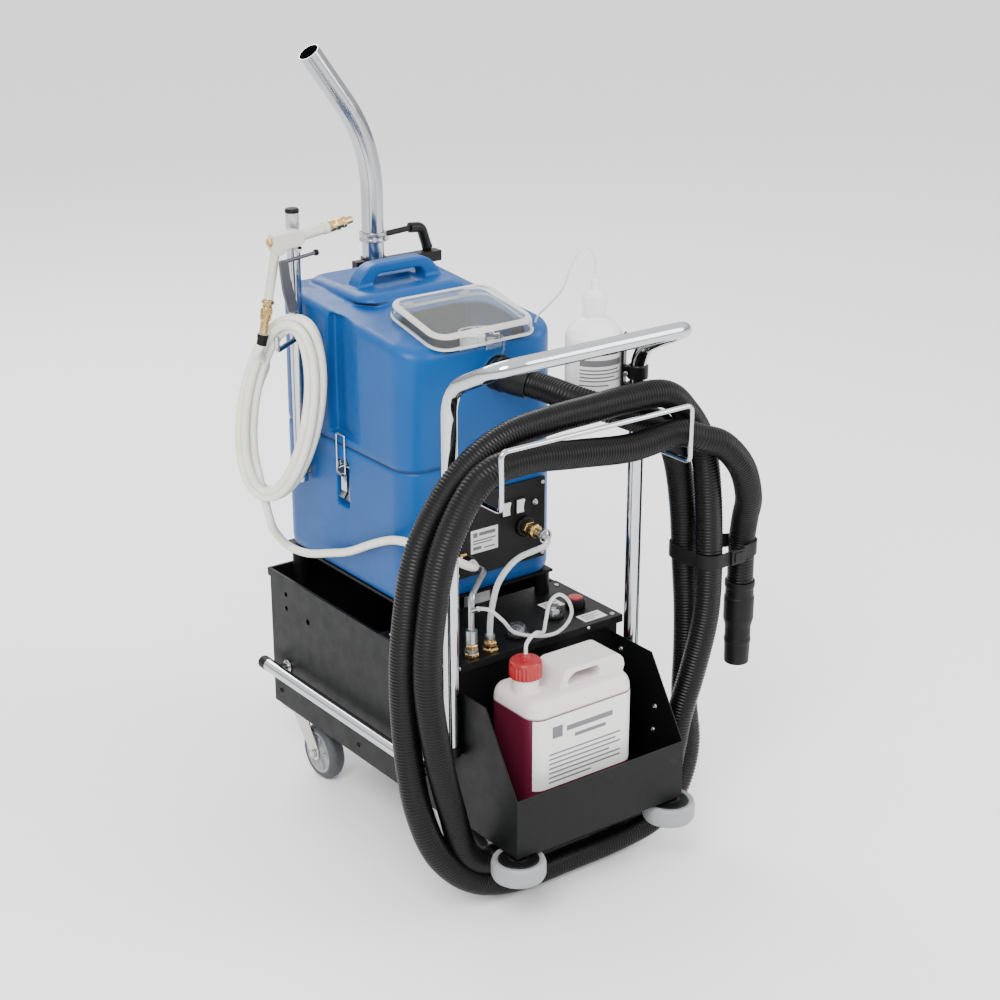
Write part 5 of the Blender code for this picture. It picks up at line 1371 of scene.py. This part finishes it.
def canister(mats):
    """Blow-moulded canister with its handle, liquid, label and red cap."""
    floor = 127.5
    mid_y = middle(CANISTER_Y)
    shell = [(9, floor), (4, floor + 1), (1, floor + 4), (0, floor + 9), (0, 330), (1, 339), (4, 347),
             (9, 353), (16, 356)]
    body = skin("canister_moulding", [canister_ring(i, z) for i, z in shell], mats["canister"])
    arch = arced([(-44, 350), (88, 350), (88, 372), (76, CANISTER_TOP), (-30, CANISTER_TOP)], 10, 6, True)
    add(body, plate("grip", arch, "Y", mid_y - 34, mid_y + 34))
    add(body, drill((*CAP, 368), (0, 0, 1), 21.0, 22.6))
    hand = arced([(-24, 357), (36, 357), (40, 364), (34, 375), (-12, 375), (-24, 366)], 3, 4, True)
    cut(body, plate("hand", hand, "Y", mid_y - 50, mid_y + 50))
    hollow = [(8, floor + 3), (3.5, floor + 8), (3, 330), (7.5, 346), (16, 352)]
    cut(body, skin("hollow", [canister_ring(i, z) for i, z in hollow], None))
    cut(body, drill((*CAP, 370), (0, 0, 1), 17.0, 30.0))
    softened(body, 1.8, 4)
    attach(body, "canister", ["canister"])
    pool = [(9.5, floor + 4), (4.6, floor + 9), (4.2, LIQUID_LEVEL - 1), (4.6, LIQUID_LEVEL)]
    attach(skin("canister_liquid", [canister_ring(i, z) for i, z in pool], mats["liquid"]), "canister")
    strip = []
    for out in (0.45, 0.05):
        line = sorted(p for p in canister_plan(-out, 16) if p[1] < CANISTER_Y[0] + 10.0)
        strip += line if out > 0.1 else line[::-1]
    paper = skin("paper", [level(strip, z) for z in LABEL_Z], mats["label"], 30)
    rows = [(6, 84, 20, 20), (34, 90, 92, 9), (50, 76, 62, 6), (0, 56, 142, 3), (0, 48, 132, 3),
            (0, 40, 142, 3), (0, 32, 120, 3), (0, 24, 142, 3), (0, 16, 142, 3), (0, 8, 84, 3)]
    bars = lying(rows, (-81, CANISTER_Y[0] - 0.4, LABEL_Z[0]), (1, 0, 0), (0, 0, 1), mats["ink"],
                 0.12, 0.05)
    attach(joined("canister_label", [paper] + bars), "canister")
    skirt = scalloped("cap", CAP, 26.0, 377.4, 399, 24, 1.3, mats["red"], 1.4)
    crown = [(24.8, 397), (25.6, 399.5), (25, 403), (22, 406), (12, 406.6), (8.4, 407), (7.4, 410),
             (6, 414), (0, 414)]
    top = lathe("crown", crown, (*CAP, 0), mats["red"], ease=0.8)
    throat = lathe("throat", [(21.6, 391.4), (24, 391.4), (24, 378), (21.6, 378)], (*CAP, 0),
                   mats["red"], ease=0.3, closed=True)
    gland = nut("gland", (*CAP, 406.4), (0, 0, 1), 15, 5, mats["red"])
    attach(joined("canister_cap_ribbed", [skirt, top, throat, gland]), "canister_cap",
           ["canister_cap"])


# ---------------------------------------------------------------- castors and rollers

def both_sides(profile):
    """A wheel's profile carried on over its other side."""
    return profile + [(a, -b) for a, b in reversed(profile)]


def castor(name, x, y, mats):
    """Zinc plate with its bolts, pressed fork with ball race, and a grey wheel."""
    top = BOX_Z[0] - 0.4
    remade("castor_plate_" + name, mats["zinc"], "frame", 0.5)
    bolts = [nut("bolt", (x + dx, y + dy, top - 3), (0, 0, -1), 11, 5, mats["zinc"])
             for dx in (-30, 30) for dy in (-30, 30)]
    attach(joined("castor_bolts_" + name, bolts), "frame")
    fork = "fork_" + name
    remade("castor_fork_" + name, mats["zinc"], fork, 0.7, 3)
    axle_y, axle_z = y - CASTOR_TRAIL, WHEEL_RADIUS
    ends = []
    for side in (-1, 1):
        ends.append(nut("axle_nut", (x + side * (WHEEL_HALF_WIDTH + 4.5), axle_y, axle_z), (side, 0, 0),
                        13, 6.5, mats["zinc"]))
    race = lathe("race", [(18, 0.4), (25, 0.4), (25.6, 2), (25, 3.6), (18, 3.6)],
                 (x, y, top - 11.6), mats["zinc"], (0, 0, -1), 0.8, closed=True)
    attach(joined("castor_fork_fittings_" + name, ends + [race]), fork)
    w, r = WHEEL_HALF_WIDTH, WHEEL_RADIUS
    side_of_hub = [(4.4, -w), (13, -w), (14.5, 5 - w), (18, 6.5 - w), (30, 6.5 - w), (33, 3 - w),
                   (38.4, 2 - w)]
    hub = lathe("hub", both_sides(side_of_hub), (x, axle_y, axle_z), mats["hub"], (1, 0, 0), 1.0, 56, True)
    side_of_tyre = [(37.8, 2 - w), (39, 0.6 - w), (43, 1 - w), (r - 2, 6 - w), (r, 11 - w)]
    tyre = lathe("tyre", both_sides(side_of_tyre), (x, axle_y, axle_z), mats["tyre"], (1, 0, 0), 1.4,
                 72, True)
    spokes = []
    for i in range(5):
        for side in (-1, 1):
            turn = Matrix.Rotation(math.radians(72 * i + 10), 4, "X")
            bar = block("spoke", (side * (w - 4.5) - 2.4, side * (w - 4.5) + 2.4), (-2.2, 2.2), (13, 31),
                        mats["hub"])
            shift = TO_FRAME @ Matrix.Translation((x, axle_y, axle_z)) @ turn @ TO_FRAME.inverted()
            bar.data.transform(shift)
            spokes.append(eased(bar, 0.8, 2))
    attach(joined("castor_wheel_turned_" + name, [hub, tyre] + spokes), "wheel_" + name,
           ["castor_wheel_" + name])


def roller(name, side, mats):
    """Grey corner roller with a black hub cap."""
    r, low, high = ROLLER_RADIUS, 86.0, 118.0
    profile = [(7.4, low + 2), (17, low + 2), (22, low + 6), (30, low + 6), (33, low + 0.6),
               (r - 3, low), (r, low + 7), (r, high - 7), (r - 3, high), (33, high - 0.6),
               (30, high - 6), (22, high - 6), (17, high - 2), (7.4, high - 2)]
    place = (side * ROLLER_X, ROLLER_Y, 0)
    wheel = lathe("wheel", profile, place, mats["hub"], ease=1.6, sides=72, closed=True)
    ring = [(7.4, high - 5.8), (32, high - 5.8), (32, high - 1.4), (30, high + 0.2), (17, high + 0.8),
            (14, high + 2.4), (7.4, high + 2.4)]
    boss = lathe("boss", ring, place, mats["panel"], ease=0.8, closed=True)
    attach(joined("fender_roller_turned_" + name, [wheel, boss]), "roller_" + name,
           ["fender_roller_" + name])
    bolt = nut("roller_bolt_" + name, (side * ROLLER_X, ROLLER_Y, 79.0), (0, 0, -1), 17, 7, mats["zinc"])
    attach(bolt, "frame")


# ---------------------------------------------------------------- gun, wand and inside parts

def spray_gun(mats):
    """Post with its peg and stays, and the gun with trigger, nozzle and swivel."""
    x, y = POST
    remade("gun_post", mats["chrome"], "frame", 0.0)
    cap = [(0, 0), (11.4, 0), (11.4, 5), (10, 7.4), (0, 8)]
    attach(lathe("post_cap", cap, (x, y, 1017.6), mats["soft"], ease=1.4), "frame")
    body = arced([(-222, 996), (-224, 976), (-218, 962), (-204, 964), (-200, 972), (-178, 972),
                  (-166, 978), (-166, 995), (-178, 999)], 6, 5, True)
    gun = plate("gun", body, "Y", GUN_Y - 11, GUN_Y + 11, mats["beige"])
    lance = pipe("lance", [(-172, GUN_Y, 986), (-116, GUN_Y, 994)], 8.5, mats["beige"], 0, 28)
    inlet = pipe("inlet", [(-214, GUN_Y, 974), (-232, GUN_Y, 893)], 7.5, mats["beige"], 0, 28)
    add(gun, lance)
    add(gun, inlet)
    softened(gun, 1.1, 5)
    ahead = Vector((56, 0, 8)).normalized()
    collar = lathe("collar", [(0, 0), (10, 0), (10, 9), (9, 10), (0, 10)], (-126.5, GUN_Y, 992.5),
                   mats["beige"], ahead, 0.8)
    plug = nut("plug", (-223.5, GUN_Y, 984), (-1, 0, 0.1), 13, 5, mats["brass"])
    attach(joined("gun_moulding", [gun, collar, plug]), "gun", ["gun_body"])
    down = Vector((-7.1, 0, -32)).normalized()
    tip = nozzle_stack("gun_nozzle_turned", [(0, 0), (9.6, 0), (9.6, 9), (8.2, 10), (8.2, 24), (9.4, 25),
                                             (9.4, 30), (6, 32.2), (5.8, 43), (4, 45), (2, 45), (2, 43)],
                       (-115.6, GUN_Y, 994.1), ahead, mats["brass"], ((11, 17.5, 9),))
    attach(tip, "gun_nozzle", ["gun_nozzle"])
    swivel = [(0, 0), (9.2, 0), (9.2, 6), (7.6, 7), (7.6, 12), (9.2, 13), (9.2, 31), (7.4, 33),
              (6.8, 34), (6.8, 54), (0, 54)]
    parts = nozzle_stack("gun_swivel_turned", swivel, (-232.1, GUN_Y, 892.6), down, mats["brass"],
                         ((1, 17.5, 5), (15, 17, 8)))
    attach(parts, "gun_swivel", ["gun_swivel"])
    front = GUN_Y - 12
    face = arced([(-219, 958), (-202, 956), (-200, 930), (-186, 872), (-204, 868), (-214, 905)], 8, 5,
                 True)
    lever = eased(plate("lever", face, "Y", front - 5, front - 0.6,
                        mats["gunmetal"]), 1.2, 3)
    hinge = pipe("hinge", [(-212, front - 2, 953), (-150, front - 2, 960)], 3.0, mats["gunmetal"], 0, 20)
    knob = lathe("knob", [(0, 0), (5, 0), (5, 5), (4, 6), (0, 6)], (-152, front - 2, 959.8),
                 mats["panel"], (1, 0, 0.113), 0.8)
    attach(joined("gun_trigger_pressed", [lever, hinge, knob]), "gun_trigger", ["gun_trigger"])


def wand(mats):
    """Cranked wand with its black clamp and D-grip, and the clip that stores it."""
    x, y = WAND
    route = [(x, y, 300.0), (x, y, 1085.0), (WAND_TIP[0], y, WAND_TIP[1])]
    tube = pipe("wand_bent_tube", arced(route, 150.0, 20), WAND_RADIUS, mats["wand"], 1.5, 48)
    attach(tube, "wand", ["wand_tube"])
    remade("wand_clip", mats["panel"], "frame", 0.7)
    ring = [(19.4, 916), (23.4, 916), (23.4, 921), (22.2, 922), (22.2, 926), (23.4, 927), (23.4, 932),
            (19.4, 932)]
    collar = lathe("collar", ring, (x, y, 0), mats["steel"], ease=0.8, closed=True)
    stay = pipe("stay", [(x + 22, y, 924), (152, y, 928)], 5.0, mats["panel"], 0, 24)
    bow = arced([(142, y, 928), (166, y, 926), (178, y, 890)], 9.0, 8)
    bar = pipe("bow", bow, 9.0, mats["panel"], 0, 28)
    ends = [lathe("end", [(0, 0), (9.6, 0), (9.6, 5), (7, 8), (0, 9)], (177.4, y, 892),
                  mats["panel"], (0.31, 0, -0.95), 1.2)]
    for side in (-1, 1):
        ends.append(nut("clamp_bolt", (x + side * 12, y - 21.5, 923), (0, -1, 0), 8, 4, mats["zinc"]))
    attach(joined("wand_grip_moulding", [collar, stay, bar] + ends), "wand", ["wand_grip"])


def insides(mats):
    """Vacuum motor, pump and mains gland."""
    floor = 127.4
    case = [(0, floor), (58, floor), (62, 134), (62, 176), (68, 180), (68, 186), (66, 188), (66, 206),
            (68, 208), (68, 214), (60, 222), (24, 226), (24, 246), (0, 246)]
    motor = lathe("case", case, (34.0, 66.0, 0), mats["panel"], ease=1.5, sides=64)
    spout = lathe("spout", [(0, 190), (24, 190), (24, 236), (25, 238), (25, 250), (0, 250)],
                  (*STANDPIPE, 0), mats["panel"], ease=1.0)
    fins = []
    for i in range(24):
        angle = math.radians(15 * i)
        here = Vector((34 + 62 * math.cos(angle), 66 + 62 * math.sin(angle), 138))
        fins.append(pipe("fin", [here, here + Vector((0, 0, 36))], 2.0, mats["panel"], 0, 8))
    attach(joined("vacuum_motor_case", [motor, spout] + fins), "frame", ["vacuum_motor"])
    remade("pump", mats["steel"], "frame", 0.8)
    rings = [lathe("rib", [(35.8, 0), (37, 0), (37, 3), (35.8, 3)], (-100, y, 172), mats["steel"],
                   (0, 1, 0), 0.6, 56, True) for y in range(126, 232, 12)]
    attach(joined("pump_ribs", rings), "frame")
    gland = [(0, 0.4), (14, 0.4), (14, 7.4), (11.4, 9), (10, 10), (10, 14), (9, 15), (10, 16), (9, 17.4),
             (9.6, 18.6), (8.4, 20), (8.8, 21.4), (6, 26), (0, 26)]
    attach(nozzle_stack("mains_gland", gland, (-92, BOX_Y[1], 172), (0, 1, 0), mats["panel"],
                        ((1, 24, 7),)), "frame", ["mains_inlet"])


# ---------------------------------------------------------------- the machine

def build():
    """Camera and cords first, then every other piece."""
    mats = make_materials()
    set_camera()
    set_stage()
    set_light()
    vacuum_hose(mats)
    spray_hose(mats)
    small_tubes(mats)
    sheet_metal(mats)
    frame_tubes(mats)
    solution_tank(mats)
    recovery_tank(mats)
    lid(mats)
    inside_tanks(mats)
    latch(mats)
    control_panel(mats)
    deck_fittings(mats)
    knob_and_labels(mats)
    anti_foam(mats)
    canister(mats)
    for name, (x, y) in CASTORS.items():
        castor(name, x, y, mats)
    roller("left", -1, mats)
    roller("right", 1, mats)
    spray_gun(mats)
    wand(mats)
    insides(mats)


build()
